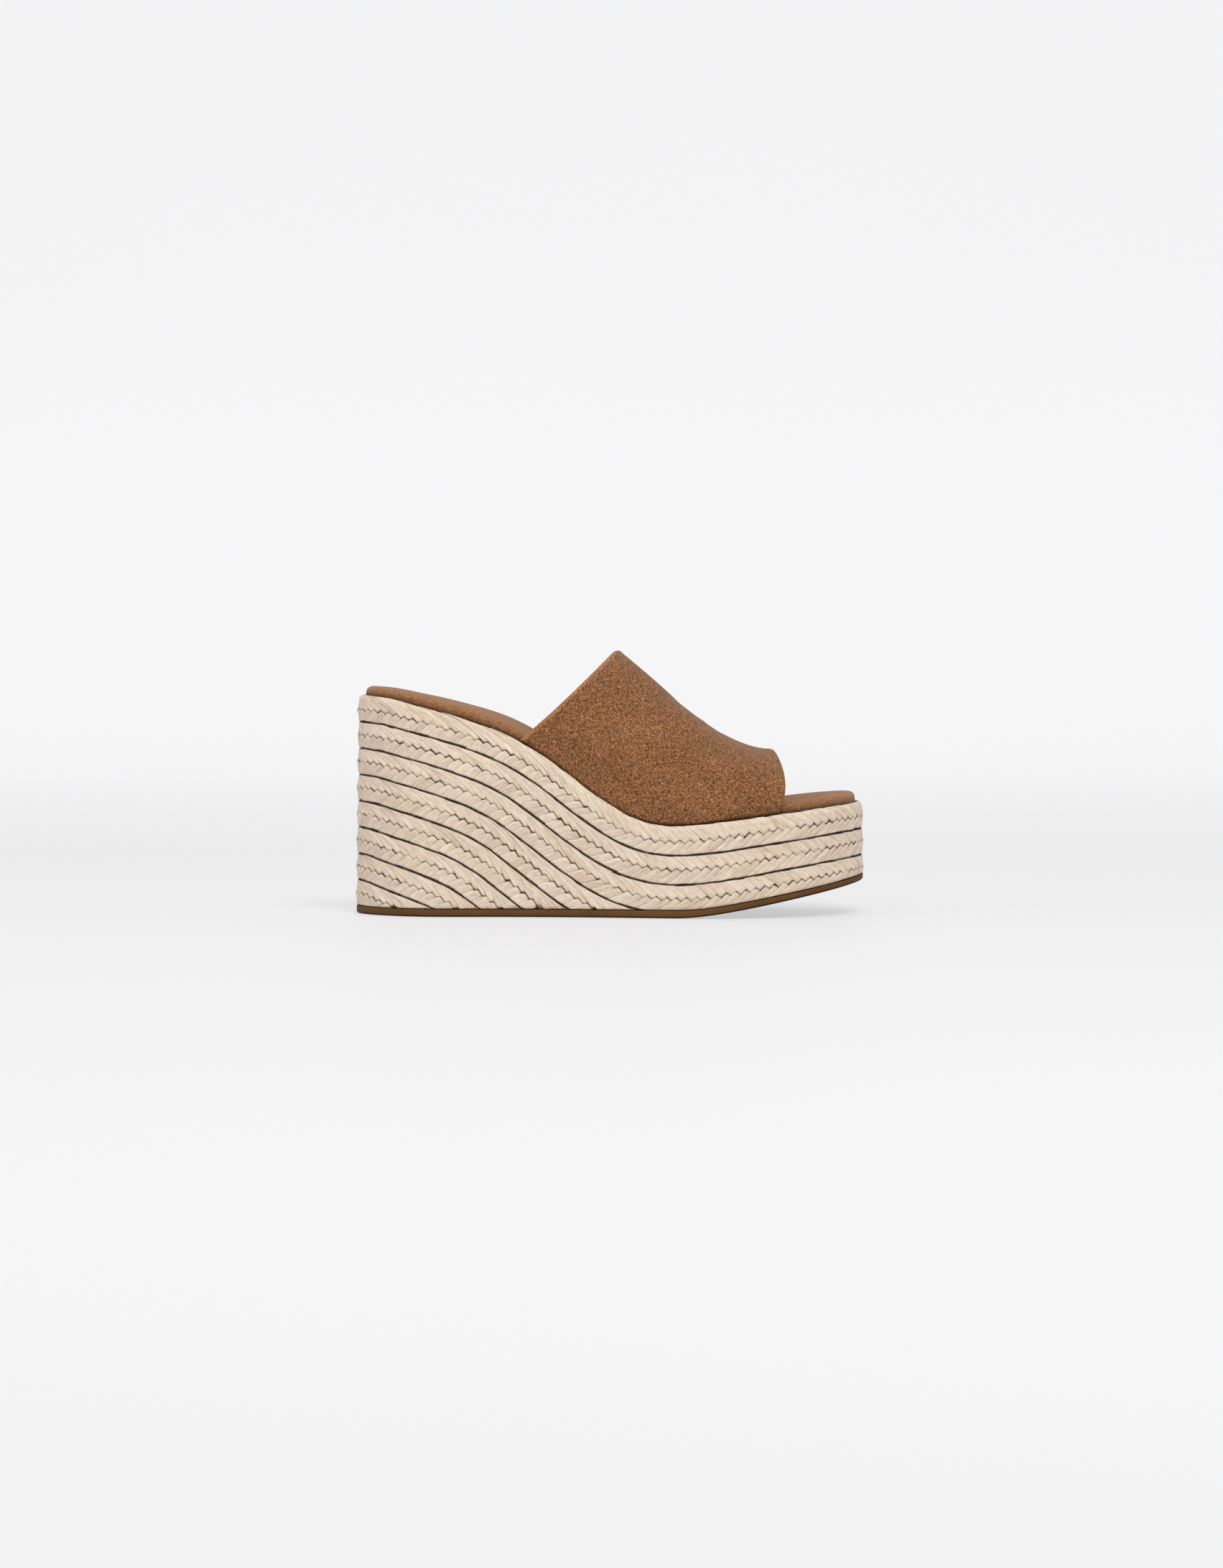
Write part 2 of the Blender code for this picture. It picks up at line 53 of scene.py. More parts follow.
FIT = 0.00032               # gap that fitted parts leave
BAND_WALL = 0.0022
BAND_BACK_OUTER = 0.0796    # where the band begins and ends, from the heel
BAND_BACK_INNER = 0.0811
BAND_FRONT = 0.2018
LOG = logging.getLogger("wedge_slide")
Array = np.ndarray
Colour = tuple[float, float, float]


class Plan(NamedTuple):
    """A line across the outline: its place along the shoe, the width and the sideways swing."""
    along: float
    width: float
    swing: float


class Height(NamedTuple):
    """A height of the wrap's top edge: shares of the climb to the heel and of that to the toe."""
    along: float
    heel_climb: float
    toe_climb: float


class Pad(NamedTuple):
    """Thickness of the footbed over the wrap, and how much of the arch's extra it has."""
    along: float
    rise: float
    arch: float


class Section(NamedTuple):
    """A section of the band: its rise over the wrap, and how square it is (2 is an ellipse)."""
    along: float
    rise: float
    fullness: float


class Crease(NamedTuple):
    """A soft crease in the band: its middle and reach as shares along and round it, and its depth."""
    along: float
    round: float
    wide: float
    long: float
    depth: float


class Lay(NamedTuple):
    """Degrees between strands and their row, half way over a lane and where the lanes meet."""
    along: float
    upper: float
    upper_tip: float
    lower: float
    lower_tip: float


def smooth_through(at: Sequence[float], values: Sequence[float]) -> Callable[[Array], Array]:
    """A natural cubic spline through points.

    The second derivatives solve the usual three-term equations, with none at the two ends.

    Args:
        at: Places of the points, rising.
        values: Their values.

    Returns:
        A function of an array of places, held at the end values outside the points.
    """
    at, values = np.asarray(at, float), np.asarray(values, float)
    step, count = np.diff(at), len(at)
    matrix, right = np.eye(count), np.zeros(count)
    rise = np.diff(values) / step
    for i in range(1, count - 1):
        matrix[i, i - 1:i + 2] = step[i - 1], 2 * (step[i - 1] + step[i]), step[i]
        right[i] = 6 * (rise[i] - rise[i - 1])
    bend = np.linalg.solve(matrix, right)

    def curve(where: Array) -> Array:
        """The spline's value at each place."""
        where = np.clip(where, at[0], at[-1])
        i = np.clip(np.searchsorted(at, where) - 1, 0, count - 2)
        before, after = where - at[i], at[i + 1] - where
        return (bend[i] * after ** 3 + bend[i + 1] * before ** 3) / (6 * step[i]) \
            + (values[i] / step[i] - bend[i] * step[i] / 6) * after \
            + (values[i + 1] / step[i] - bend[i + 1] * step[i] / 6) * before

    return curve


def curve_of(rows: Sequence[NamedTuple], value: Callable[[NamedTuple], float],
             place: Callable[[float], float] = float) -> Callable[[Array], Array]:
    """The spline of a value of a table's rows over their places along.

    Args:
        rows: The table.
        value: What to read from a row.
        place: What to make of a row's place.

    Returns:
        A function of an array of places.
    """
    return smooth_through([place(row.along) for row in rows], [value(row) for row in rows])


def ease(value: Array) -> Array:
    """Smooth step: 0 below 0, 1 above 1, and 3 v^2 - 2 v^3 between."""
    value = np.clip(value, 0, 1)
    return value * value * (3 - 2 * value)


def turn_of(along: Array) -> Array:
    """The angle, 0 at the heel and pi at the toe, whose cosine gives a share of the length."""
    return np.arccos(np.clip(1 - 2 * np.asarray(along), -1, 1))


# Meshes from arrays

@dataclass
class Shell:
    """A mesh in the making: points (n, 3), quads (m, 4), and values and a lay (n, 2) at its points."""
    points: Array
    quads: Array
    values: dict[str, Array] = field(default_factory=dict)
    lay: Array | None = None

    def outward(self) -> "Shell":
        """Turn all quads over if they enclose a negative volume, the sum of corner triple products."""
        a, b, c, d = (self.points[self.quads[:, i]] for i in range(4))
        volume = (np.cross(a, b) * c).sum() + (np.cross(a, c) * d).sum()
        if volume < 0:
            self.quads = self.quads[:, ::-1]
        return self


def joined(shells: Sequence[Shell]) -> Shell:
    """One shell from several.

    Args:
        shells: Shells that have the same values, and all a lay or none.

    Returns:
        The shells one after another, with the point numbers shifted.
    """
    starts = np.cumsum([0] + [len(shell.points) for shell in shells])
    return Shell(
        np.concatenate([shell.points for shell in shells]),
        np.concatenate([shell.quads + start for shell, start in zip(shells, starts)]),
        {key: np.concatenate([shell.values[key] for shell in shells]) for key in shells[0].values},
        None if shells[0].lay is None else np.concatenate([shell.lay for shell in shells]))


def grid_quads(rows: int, columns: int, wrap_rows: bool = False, wrap_columns: bool = False) -> Array:
    """Quads of a grid of points numbered row by row.

    Args:
        rows: Number of rows of points.
        columns: Number of points in a row.
        wrap_rows: Whether the last row joins the first.
        wrap_columns: Whether the last column joins the first.

    Returns:
        Point numbers, four to a quad.
    """
    i, j = np.meshgrid(np.arange(rows if wrap_rows else rows - 1),
                       np.arange(columns if wrap_columns else columns - 1), indexing="ij")
    below, beside = (i + 1) % rows, (j + 1) % columns
    return np.stack([i * columns + j, i * columns + beside,
                     below * columns + beside, below * columns + j], axis=-1).reshape(-1, 4)


def tube_quads(rings: int, size: int, seam: int = 0) -> Array:
    """Quads of a closed tube: its side, and a strip of quads across the ring at each end.

    Args:
        rings: Number of rings.
        size: Number of points in a ring, which is even.
        seam: Number of points by which the two strips begin before the ring's first point.

    Returns:
        Point numbers, four to a quad.
    """
    ring, i = np.roll(np.arange(size), seam), np.arange(size // 2 - 1)
    cap = np.stack([ring[i], ring[i + 1], ring[-i - 2], ring[-i - 1]], axis=-1)
    return np.concatenate([grid_quads(rings, size, wrap_columns=True), cap[:, ::-1],
                           cap + (rings - 1) * size])


def repeated(quads: Array, count: int, points: int) -> Array:
    """The quads of many equal shapes, each with so many points."""
    return (quads[None] + np.arange(count)[:, None, None] * points).reshape(-1, 4)


def unit(vectors: Array) -> Array:
    """Vectors divided by their length."""
    return vectors / np.linalg.norm(vectors, axis=-1, keepdims=True)


def run_along(points: Array) -> Array:
    """Distance walked to each point of lines of points, summed from step to step."""
    steps = np.linalg.norm(np.diff(points, axis=-2), axis=-1)
    return np.concatenate([np.zeros_like(steps[..., :1]), np.cumsum(steps, axis=-1)], axis=-1)


def make_piece(name: str, shell: Shell, material: bpy.types.Material,
               stands_for: str | None = None, merge: float = 0.0) -> bpy.types.Object:
    """Put a shell into a smooth mesh object that rides on the shoe.

    Args:
        name: Name of the piece.
        shell: Its points, quads, values and lay.
        material: Its finish.
        stands_for: The CAD node that it replaces, if any.
        merge: Points closer than this become one, to close tips.

    Returns:
        The object, at the origin.
    """
    mesh = bpy.data.meshes.new(name)
    mesh.vertices.add(len(shell.points))
    mesh.vertices.foreach_set("co", shell.points.astype(np.float32).ravel())
    mesh.loops.add(shell.quads.size)
    mesh.loops.foreach_set("vertex_index", shell.quads.astype(np.int32).ravel())
    mesh.polygons.add(len(shell.quads))
    mesh.polygons.foreach_set("loop_start", np.arange(0, shell.quads.size, 4, dtype=np.int32))
    mesh.update(calc_edges=True)
    if shell.lay is not None:
        layer = mesh.uv_layers.new(name="Lay")
        layer.uv.foreach_set("vector", shell.lay[shell.quads.ravel()].astype(np.float32).ravel())
    for key, value in shell.values.items():
        kept = mesh.attributes.new(key, "FLOAT", "POINT")
        kept.data.foreach_set("value", value.astype(np.float32).ravel())
    if merge:
        work = bmesh.new()
        work.from_mesh(mesh)
        bmesh.ops.remove_doubles(work, verts=work.verts, dist=merge)
        bmesh.ops.recalc_face_normals(work, faces=work.faces)
        work.to_mesh(mesh)
        work.free()
    mesh.shade_smooth()
    mesh.materials.append(material)
    piece = bpy.data.objects.new(name, mesh)
    bpy.context.scene.collection.objects.link(piece)
    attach(piece, "root")
    if stands_for:
        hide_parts(stands_for)
    LOG.info("%s: %d faces", name, len(mesh.polygons))
    return piece


# Materials from expressions

class Noise(NamedTuple):
    """A noise: its lumps to a metre, its finer octaves, their strength, and how much it is stirred."""
    scale: float
    detail: float = 2.0
    roughness: float = 0.5
    distortion: float = 0.0


class Value:
    """A number that varies over a surface. Python's operators on it add Math nodes."""

    def __init__(self, bench: "Bench", socket: bpy.types.NodeSocket) -> None:
        """Wrap an output socket of a node on the bench."""
        self.bench, self.socket = bench, socket

    def _maths(self, operation: str, first: "Value | float", second: "Value | float" = 0.0) -> "Value":
        """The result of a Math node on two values."""
        node = self.bench.node("ShaderNodeMath", {"operation": operation}, {0: first, 1: second})
        return Value(self.bench, node.outputs[0])

    def __add__(self, other: "Value | float") -> "Value":
        """Sum."""
        return self._maths("ADD", self, other)

    def __sub__(self, other: "Value | float") -> "Value":
        """Difference."""
        return self._maths("SUBTRACT", self, other)

    def __rsub__(self, other: float) -> "Value":
        """Difference from a number."""
        return self._maths("SUBTRACT", other, self)

    def __mul__(self, other: "Value | float") -> "Value":
        """Product."""
        return self._maths("MULTIPLY", self, other)

    __radd__ = __add__
    __rmul__ = __mul__

    def near(self, centre: float, reach: float) -> "Value":
        """1 at the centre, 0 from the reach on, and smooth between."""
        return self._maths("ABSOLUTE", self - centre).above(reach, 0.0)

    def above(self, low: float, high: float) -> "Value":
        """0 at low and less, 1 at high and more, and smooth between."""
        node = self.bench.node("ShaderNodeMapRange", {"interpolation_type": "SMOOTHSTEP"},
                               {"Value": self, "From Min": low, "From Max": high})
        return Value(self.bench, node.outputs[0])


class Bench:
    """The node tree of one material, with a Principled shader at its end."""

    def __init__(self, name: str) -> None:
        """Start a material with its shader alone."""
        self.material = bpy.data.materials.new(name)
        self.material.use_nodes = True
        self.tree = self.material.node_tree
        self.shader = self.tree.nodes["Principled BSDF"]

    def node(self, kind: str, settings: dict, sockets: dict) -> bpy.types.Node:
        """Add a node.

        Args:
            kind: Blender's name for the node's type.
            settings: Its properties, set first. "stops" are a ramp's (position, colour) pairs.
            sockets: Values or links of its inputs, by name or number.

        Returns:
            The node.
        """
        node = self.tree.nodes.new(kind)
        for key, value in settings.items():
            if key == "stops":
                stops = node.color_ramp.elements
                while len(stops) < len(value):
                    stops.new(1.0)
                for stop, (position, colour) in zip(stops, value):
                    stop.position, stop.color = position, (*colour, 1.0)
            else:
                setattr(node, key, value)
        for key, value in sockets.items():
            self.feed(node.inputs[key], value)
        return node

    def feed(self, socket: bpy.types.NodeSocket, value: object) -> None:
        """Link a value or a socket to an input, or set the input to a constant."""
        if isinstance(value, Value):
            value = value.socket
        if isinstance(value, bpy.types.NodeSocket):
            self.tree.links.new(value, socket)
        else:
            socket.default_value = value

    def place(self) -> bpy.types.NodeSocket:
        """The point's place on the object."""
        return self.node("ShaderNodeTexCoord", {}, {}).outputs["Object"]

    def kept(self, name: str) -> Value:
        """A number kept at the mesh's points."""
        return Value(self, self.node("ShaderNodeAttribute", {"attribute_name": name}, {}).outputs["Fac"])

    def lay(self, stretch: tuple[float, float, float]) -> bpy.types.NodeSocket:
        """The surface's own coordinates, each times a factor."""
        lay = self.node("ShaderNodeUVMap", {"uv_map": "Lay"}, {}).outputs[0]
        product = self.node("ShaderNodeVectorMath", {"operation": "MULTIPLY"}, {0: lay, 1: stretch})
        return product.outputs[0]

    def noise(self, where: bpy.types.NodeSocket, noise: Noise) -> Value:
        """Soft noise from 0 to 1."""
        node = self.node("ShaderNodeTexNoise", {}, {
            "Vector": where, "Scale": noise.scale, "Detail": noise.detail,
            "Roughness": noise.roughness, "Distortion": noise.distortion})
        return Value(self, node.outputs["Fac"])

    def ramp(self, value: Value, stops: Sequence[tuple[float, Colour]]) -> bpy.types.NodeSocket:
        """A colour by a value."""
        return self.node("ShaderNodeValToRGB", {"stops": stops}, {"Fac": value}).outputs["Color"]

    def mix(self, share: Value, *colours: bpy.types.NodeSocket | Colour) -> bpy.types.NodeSocket:
        """Mix two colours, whose inputs are numbers 6 and 7 of the node."""
        pair = {6 + i: (*colour, 1.0) if isinstance(colour, tuple) else colour
                for i, colour in enumerate(colours)}
        return self.node("ShaderNodeMix", {"data_type": "RGBA"}, {0: share, **pair}).outputs[2]

    def finish(self, colour: bpy.types.NodeSocket, roughness: float, height: Value, bump: float,
               **others: object) -> bpy.types.Material:
        """Set the shader.

        Args:
            colour: A colour socket.
            roughness: How matt it is.
            height: The relief, from 0 to 1.
            bump: The relief's height in metres.
            others: Values of other inputs of the shader, with _ for each space.

        Returns:
            The material.
        """
        relief = self.node("ShaderNodeBump", {}, {"Height": height, "Distance": bump, "Strength": 1.0})
        self.feed(self.shader.inputs["Base Color"], colour)
        self.feed(self.shader.inputs["Normal"], relief.outputs["Normal"])
        self.feed(self.shader.inputs["Roughness"], roughness)
        for key, value in others.items():
            self.feed(self.shader.inputs[key.replace("_", " ")], value)
        return self.material


@dataclass(frozen=True)
class Jute:
    """Combed jute: yarns and fibres along the strand, dark flecks, and painted shade deep in the
    grooves.
    """
    pale: Colour = (0.825, 0.703, 0.571)
    middle: Colour = (0.700, 0.562, 0.430)
    tan: Colour = (0.510, 0.367, 0.245)
    fleck: Colour = (0.120, 0.070, 0.035)
    # colour of the painted shade in the grooves
    groove: Colour = (0.030, 0.016, 0.008)
    fibre: tuple[float, float, float] = (6000.0, 300.0, 0.0)    # lumps to a metre across and along
    streak: tuple[float, float, float] = (2500.0, 150.0, 0.0)
    yarn: tuple[float, float, float] = (900.0, 70.0, 0.0)
    speck: tuple[float, float, float] = (5000.0, 450.0, 0.0)
    seam_width: float = 0.045                   # of the line between two yarns, in the noise's value
    speck_range: tuple[float, float] = (0.72, 0.78)    # where the noise turns into a fleck
    groove_shade_range: tuple[float, float] = (0.06, 0.62)   # where depth turns into shade
    relief: float = 0.00030

    def make(self) -> bpy.types.Material:
        """The material, on the lay of the strands in metres."""
        bench = Bench("jute")
        fibre = bench.noise(bench.lay(self.fibre), Noise(1.0, 2.0, 0.6))
        streak = bench.noise(bench.lay(self.streak), Noise(1.0, 1.0))
        seam = bench.noise(bench.lay(self.yarn), Noise(1.0, 0.0)).near(0.5, self.seam_width)
        speck = bench.noise(bench.lay(self.speck), Noise(1.0, 0.0)).above(*self.speck_range)
        tone = bench.kept("tone") * 0.035 + fibre * 0.45 + streak * 0.55
        colour = bench.ramp(tone, [(0.30, self.tan), (0.46, self.middle), (0.66, self.pale)])
        colour = bench.mix(seam * 0.30, colour, self.tan)
        colour = bench.mix(speck * 0.6, colour, self.fleck)
        # Painted shade: towards the near-black shade colour where the kept value is high, in the grooves
        # between strands and rows.
        colour = bench.mix(bench.kept("groove").above(*self.groove_shade_range), colour, self.groove)
        relief = fibre * 0.25 + streak * 0.45 - seam * 0.30
        return bench.finish(colour, 0.85, relief, self.relief,
                            Specular_IOR_Level=0.25, Sheen_Weight=0.20, Sheen_Roughness=0.5)


@dataclass(frozen=True)
class Suede:
    """Short-napped suede: clumps of nap, finer hairs and a broad brushed shade, with a painted highlight
    and painted shade where the points keep them.
    """
    name: str
    dark: Colour
    middle: Colour
    light: Colour
    # colour of the painted shade where parts meet
    deep: Colour = (0.006, 0.003, 0.0015)
    clumps: Noise = Noise(1 / 0.00085, 2.0, 0.6, 1.2)
    hairs: Noise = Noise(1 / 0.00042, 2.0, 0.6, 0.6)
    brushed: Noise = Noise(38.0, 2.0, 0.5, 0.3)
    relief: float = 0.00060
    sheen_tint: tuple[float, float, float, float] = (1.0, 0.80, 0.62, 1.0)

    def make(self) -> bpy.types.Material:
        """The material, on the object's coordinates."""
        bench = Bench(self.name)
        clumps, hairs, brushed = (bench.noise(bench.place(), noise)
                                  for noise in (self.clumps, self.hairs, self.brushed))
        nap = clumps * 0.46 + hairs * 0.54
        # The kept turned value adds a painted highlight along the band's throat edge.
        tone = nap + (brushed - 0.5) * 0.06 + bench.kept("turned") * 0.055
        colour = bench.ramp(tone, [(0.41, self.dark), (0.50, self.middle), (0.59, self.light)])
        # Painted shade: towards the deep colour where the kept shade value is high, where parts meet.
        colour = bench.mix(bench.kept("shade") * 0.94, colour, self.deep)
        return bench.finish(colour, 0.92, nap, self.relief, Specular_IOR_Level=0.15,
                            Sheen_Weight=0.30, Sheen_Roughness=0.45, Sheen_Tint=self.sheen_tint)


@dataclass(frozen=True)
class Plain:
    """A plain finish: patches of two tones, a fine relief, and a painted contact shadow towards the
    floor if it has one.
    """
    name: str
    shade: Colour
    colour: Colour
    patches: Noise
    grain: Noise
    matt: float
    relief: float
    specular: float = 0.5
    spread: float = 0.15                        # of the patches' values about a half
    floor_shadow: Colour | None = None
    floor_shadow_range: tuple[float, float] = (0.15, 0.55)

    def make(self) -> bpy.types.Material:
        """The material, on the object's coordinates."""
        bench = Bench(self.name)
        patches = bench.noise(bench.place(), self.patches)
        colour = bench.ramp(patches, [(0.5 - self.spread, self.shade), (0.5 + self.spread, self.colour)])
        # Painted contact shadow: near-black where the kept floor side value is high, along the lower
        # edge.
        if self.floor_shadow:
            shadowed = bench.kept("floor_side").above(*self.floor_shadow_range) * 0.95
            colour = bench.mix(shadowed, colour, self.floor_shadow)
        return bench.finish(colour, self.matt, bench.noise(bench.place(), self.grain), self.relief,
                            Specular_IOR_Level=self.specular)


FOOTBED_SUEDE = Suede("footbed_suede", (0.185, 0.079, 0.032), (0.300, 0.136, 0.060),
                      (0.470, 0.232, 0.108))
BAND_SUEDE = Suede("band_suede", (0.056, 0.020, 0.008), (0.202, 0.083, 0.031), (0.485, 0.228, 0.096))
# The rubber's last colour is a painted contact shadow along the sole's lower edge.
RUBBER = Plain("brown_rubber", (0.096, 0.040, 0.010), (0.122, 0.053, 0.014), Noise(60.0),
               Noise(2600.0, 2.0, 0.6), 0.70, 0.00012, 0.18, floor_shadow=(0.010, 0.007, 0.005))
LINING_LEATHER = Plain("lining_leather", (0.430, 0.275, 0.155), (0.520, 0.345, 0.205),
                       Noise(90.0, 3.0), Noise(1500.0, 2.0, 0.55), 0.55, 0.00012, 0.4)
TWISTED_THREAD = Plain("tan_thread", (0.240, 0.130, 0.065), (0.400, 0.235, 0.125),
                       Noise(4000.0, 1.0), Noise(4000.0, 1.0), 0.6, 0.0001, spread=0.10)
CLOSED_CELL_FOAM = Plain("wedge_foam", (0.470, 0.380, 0.270), (0.560, 0.460, 0.340),
                         Noise(1800.0, 2.0, 0.6), Noise(1800.0, 2.0, 0.6), 0.85, 0.0002)


@dataclass(frozen=True)
class PaleFloor:
    """A plain pale floor and backdrop that glows a little, as a light table does, more behind."""
    colour: Colour = (0.24, 0.24, 0.243)
    near: Colour = (0.55, 0.55, 0.5555)             # glow at the shoe
    behind: Colour = (0.735, 0.735, 0.74235)        # and far behind it
    grows: tuple[float, float] = (0.2, 2.6)         # from where to where on the Y axis
    clouds: Noise = Noise(1.5, 1.0)
    cloud_shade: float = 0.985                      # so that it isn't one flat tone

    def make(self) -> bpy.types.Material:
        """The material, on the object's coordinates."""
        bench = Bench("pale_floor")
        cloud = bench.noise(bench.place(), self.clouds)
        shade = tuple(self.cloud_shade * part for part in self.colour)
        colour = bench.ramp(cloud, [(0.3, shade), (0.7, self.colour)])
        apart = bench.node("ShaderNodeSeparateXYZ", {}, {"Vector": bench.place()})
        back = Value(bench, apart.outputs["Y"]).above(*self.grows)
        return bench.finish(colour, 0.6, cloud, 0.0, Specular_IOR_Level=0.1, Emission_Strength=1.0,
                            Emission_Color=bench.mix(back, self.near, self.behind))


# The shoe's common shape

@dataclass
class Last:
    """The wedge's outline and heights, as the solids have them."""
    length: float = 0.2432
    ball_width: float = 0.0875
    waist_width: float = 0.0660
    heel_width: float = 0.0660
    toe_swing: float = 0.0065
    heel_height: float = 0.1042
    ball_height: float = 0.0433
    toe_height: float = 0.0532
    wall_lean: float = 0.0012
    sole_thickness: float = 0.0036
    sole_toe_thickness: float = 0.0028
    spring_start: float = 0.1516
    spring_softness: float = 0.0200
    toe_spring: float = 0.0159
    steps: int = 5760

    def __post_init__(self) -> None:
        """Lay out the splines and walk round the outline."""
        ball, waist, heel = self.ball_width, self.waist_width, self.heel_width
        plan = [
            Plan(0.000, 0.000 * heel, 0.00), Plan(0.060, 0.700 * heel, 0.00),
            Plan(0.135, 0.970 * heel, 0.00), Plan(0.250, 1.000 * heel, -0.03),
            Plan(0.400, 1.000 * waist, -0.30), Plan(0.500, 0.800 * ball, -0.50),
            Plan(0.600, 0.893 * ball, -0.55), Plan(0.680, 0.972 * ball, -0.38),
            Plan(0.750, 1.000 * ball, -0.12), Plan(0.820, 0.970 * ball, 0.19),
            Plan(0.880, 0.880 * ball, 0.46), Plan(0.940, 0.690 * ball, 0.73),
            Plan(0.980, 0.420 * ball, 0.92), Plan(1.000, 0.000 * ball, 1.00)]
        heights = [
            Height(0.000, 1.000, 0.00), Height(0.060, 0.979, 0.00), Height(0.120, 0.926, 0.00),
            Height(0.175, 0.872, 0.00), Height(0.230, 0.805, 0.00), Height(0.285, 0.722, 0.00),
            Height(0.340, 0.610, 0.00), Height(0.395, 0.464, 0.00), Height(0.450, 0.295, 0.00),
            Height(0.505, 0.142, 0.00), Height(0.550, 0.050, 0.00), Height(0.595, 0.006, 0.00),
            Height(0.640, 0.000, 0.01), Height(0.700, 0.000, 0.14), Height(0.780, 0.000, 0.38),
            Height(0.870, 0.000, 0.66), Height(0.940, 0.000, 0.86), Height(1.000, 0.000, 1.00)]
        climb, toe_climb = self.heel_height - self.ball_height, self.toe_height - self.ball_height
        half_width = curve_of(plan, lambda row: row.width / 2, turn_of)
        swing = curve_of(plan, lambda row: self.toe_swing * row.swing)
        self.rim_of = curve_of(heights, lambda row: (
            self.ball_height + row.heel_climb * climb + row.toe_climb * toe_climb))
        turn = np.linspace(0, 2 * math.pi, self.steps, endpoint=False)
        x = -self.length / 2 * np.cos(turn)
        side = np.where(turn < math.pi, -1, 1)
        y = swing(self.share(x)) + side * half_width(np.minimum(turn, 2 * math.pi - turn))
        y -= (y.max() + y.min()) / 2
        ahead_x, ahead_y = np.roll(x, -1) - np.roll(x, 1), np.roll(y, -1) - np.roll(y, 1)
        size = np.hypot(ahead_x, ahead_y)
        step = np.hypot(np.roll(x, -1) - x, np.roll(y, -1) - y)
        self._at = np.append(0, np.cumsum(step))
        self.around, self.toe_at = step.sum(), step[:self.steps // 2].sum()
        self._turn = np.append(turn, 2 * math.pi)
        self._columns = [np.append(c, c[0]) for c in (x, y, ahead_y / size, -ahead_x / size)]

    def share(self, x: Array) -> Array:
        """Share of the shoe's length, from the heel, of a place on the X axis."""
        return np.clip(np.asarray(x) / self.length + 0.5, 0, 1)

    def rim(self, x: Array) -> Array:
        """Height of the wrap's top edge."""
        return self.rim_of(self.share(x))

    def ground(self, x: Array) -> Array:
        """Underside of the sole: flat, then a soft bend (a hyperbola) into the straight toe spring."""
        past = np.maximum(np.asarray(x) + self.length / 2 - self.spring_start, 0)
        soft = self.spring_softness
        reach = math.hypot(self.length - self.spring_start, soft) - soft
        return self.toe_spring * (np.hypot(past, soft) - soft) / reach

    def sole_top(self, x: Array) -> Array:
        """Upper side of the sole, which thins along the toe spring."""
        past = np.asarray(x) + self.length / 2 - self.spring_start
        sprung = np.clip(past / (self.length - self.spring_start), 0, 1)
        return self.ground(x) + self.sole_thickness \
            + (self.sole_toe_thickness - self.sole_thickness) * sprung

    def station(self, turn: Array) -> Array:
        """Distance along the outline of an angle."""
        return np.interp(turn, self._turn, self._at)

    def stations(self, half: int) -> Array:
        """Distances of twice as many points as given, the same on both sides, from the heel."""
        return self.station(np.arange(2 * half) * math.pi / half)

    def side_station(self, x: float, inner: bool) -> float:
        """Distance along the outline of a place on the X axis, on the inner or the outer side."""
        turn = turn_of(self.share(x))
        return self.station(2 * math.pi - turn if inner else turn)

    def x_at(self, at: Array) -> Array:
        """Place on the X axis of a distance along the outline."""
        return np.interp(np.mod(at, self.around), self._at, self._columns[0])

    def wall(self, at: Array, z: Array, depth: Array) -> Array:
        """Points on the wall.

        A point of the outline moves against its outward normal by the depth, and by the lean,
        which grows with the height.

        Args:
            at: Distances along the outline.
            z: Heights.
            depth: Depths behind the wall's face.

        Returns:
            Points, in one more dimension than the inputs.
        """
        x, y, out_x, out_y = (np.interp(np.mod(at, self.around), self._at, c) for c in self._columns)
        out = -depth - self.wall_lean * z / self.heel_height
        return np.stack(np.broadcast_arrays(x + out_x * out, y + out_y * out, z), axis=-1)

    def ring(self, stations: Array, height: Callable[[Array], Array], depth: Array | float) -> Array:
        """Points on the wall at a depth, whose heights follow the places that they have there."""
        return self.wall(stations, height(self.wall(stations, 0.0, depth)[:, 0]), depth)


# Braided jute wrap

class Lane(Enum):
    """The two lanes of a braid."""
    UPPER = 0
    LOWER = 1


@dataclass
class RowPath:
    """The middle line of one row on the unrolled wall."""
    row: int
    closed: bool
    at: Array
    length: Array
    begins: float = 0.0
    ends: float = 0.0

    @property
    def total(self) -> float:
        """Its length."""
        return float(self.length[-1])

    def at_of(self, along: Array, around: float) -> Array:
        """Distance along the outline of a length along the row, past its ends too."""
        if self.closed:
            lap = np.floor(along / self.total)
            return np.interp(along - lap * self.total, self.length, self.at) + lap * around
        past = np.clip(along, 0, self.total)
        return np.interp(past, self.length, self.at) + (along - past)


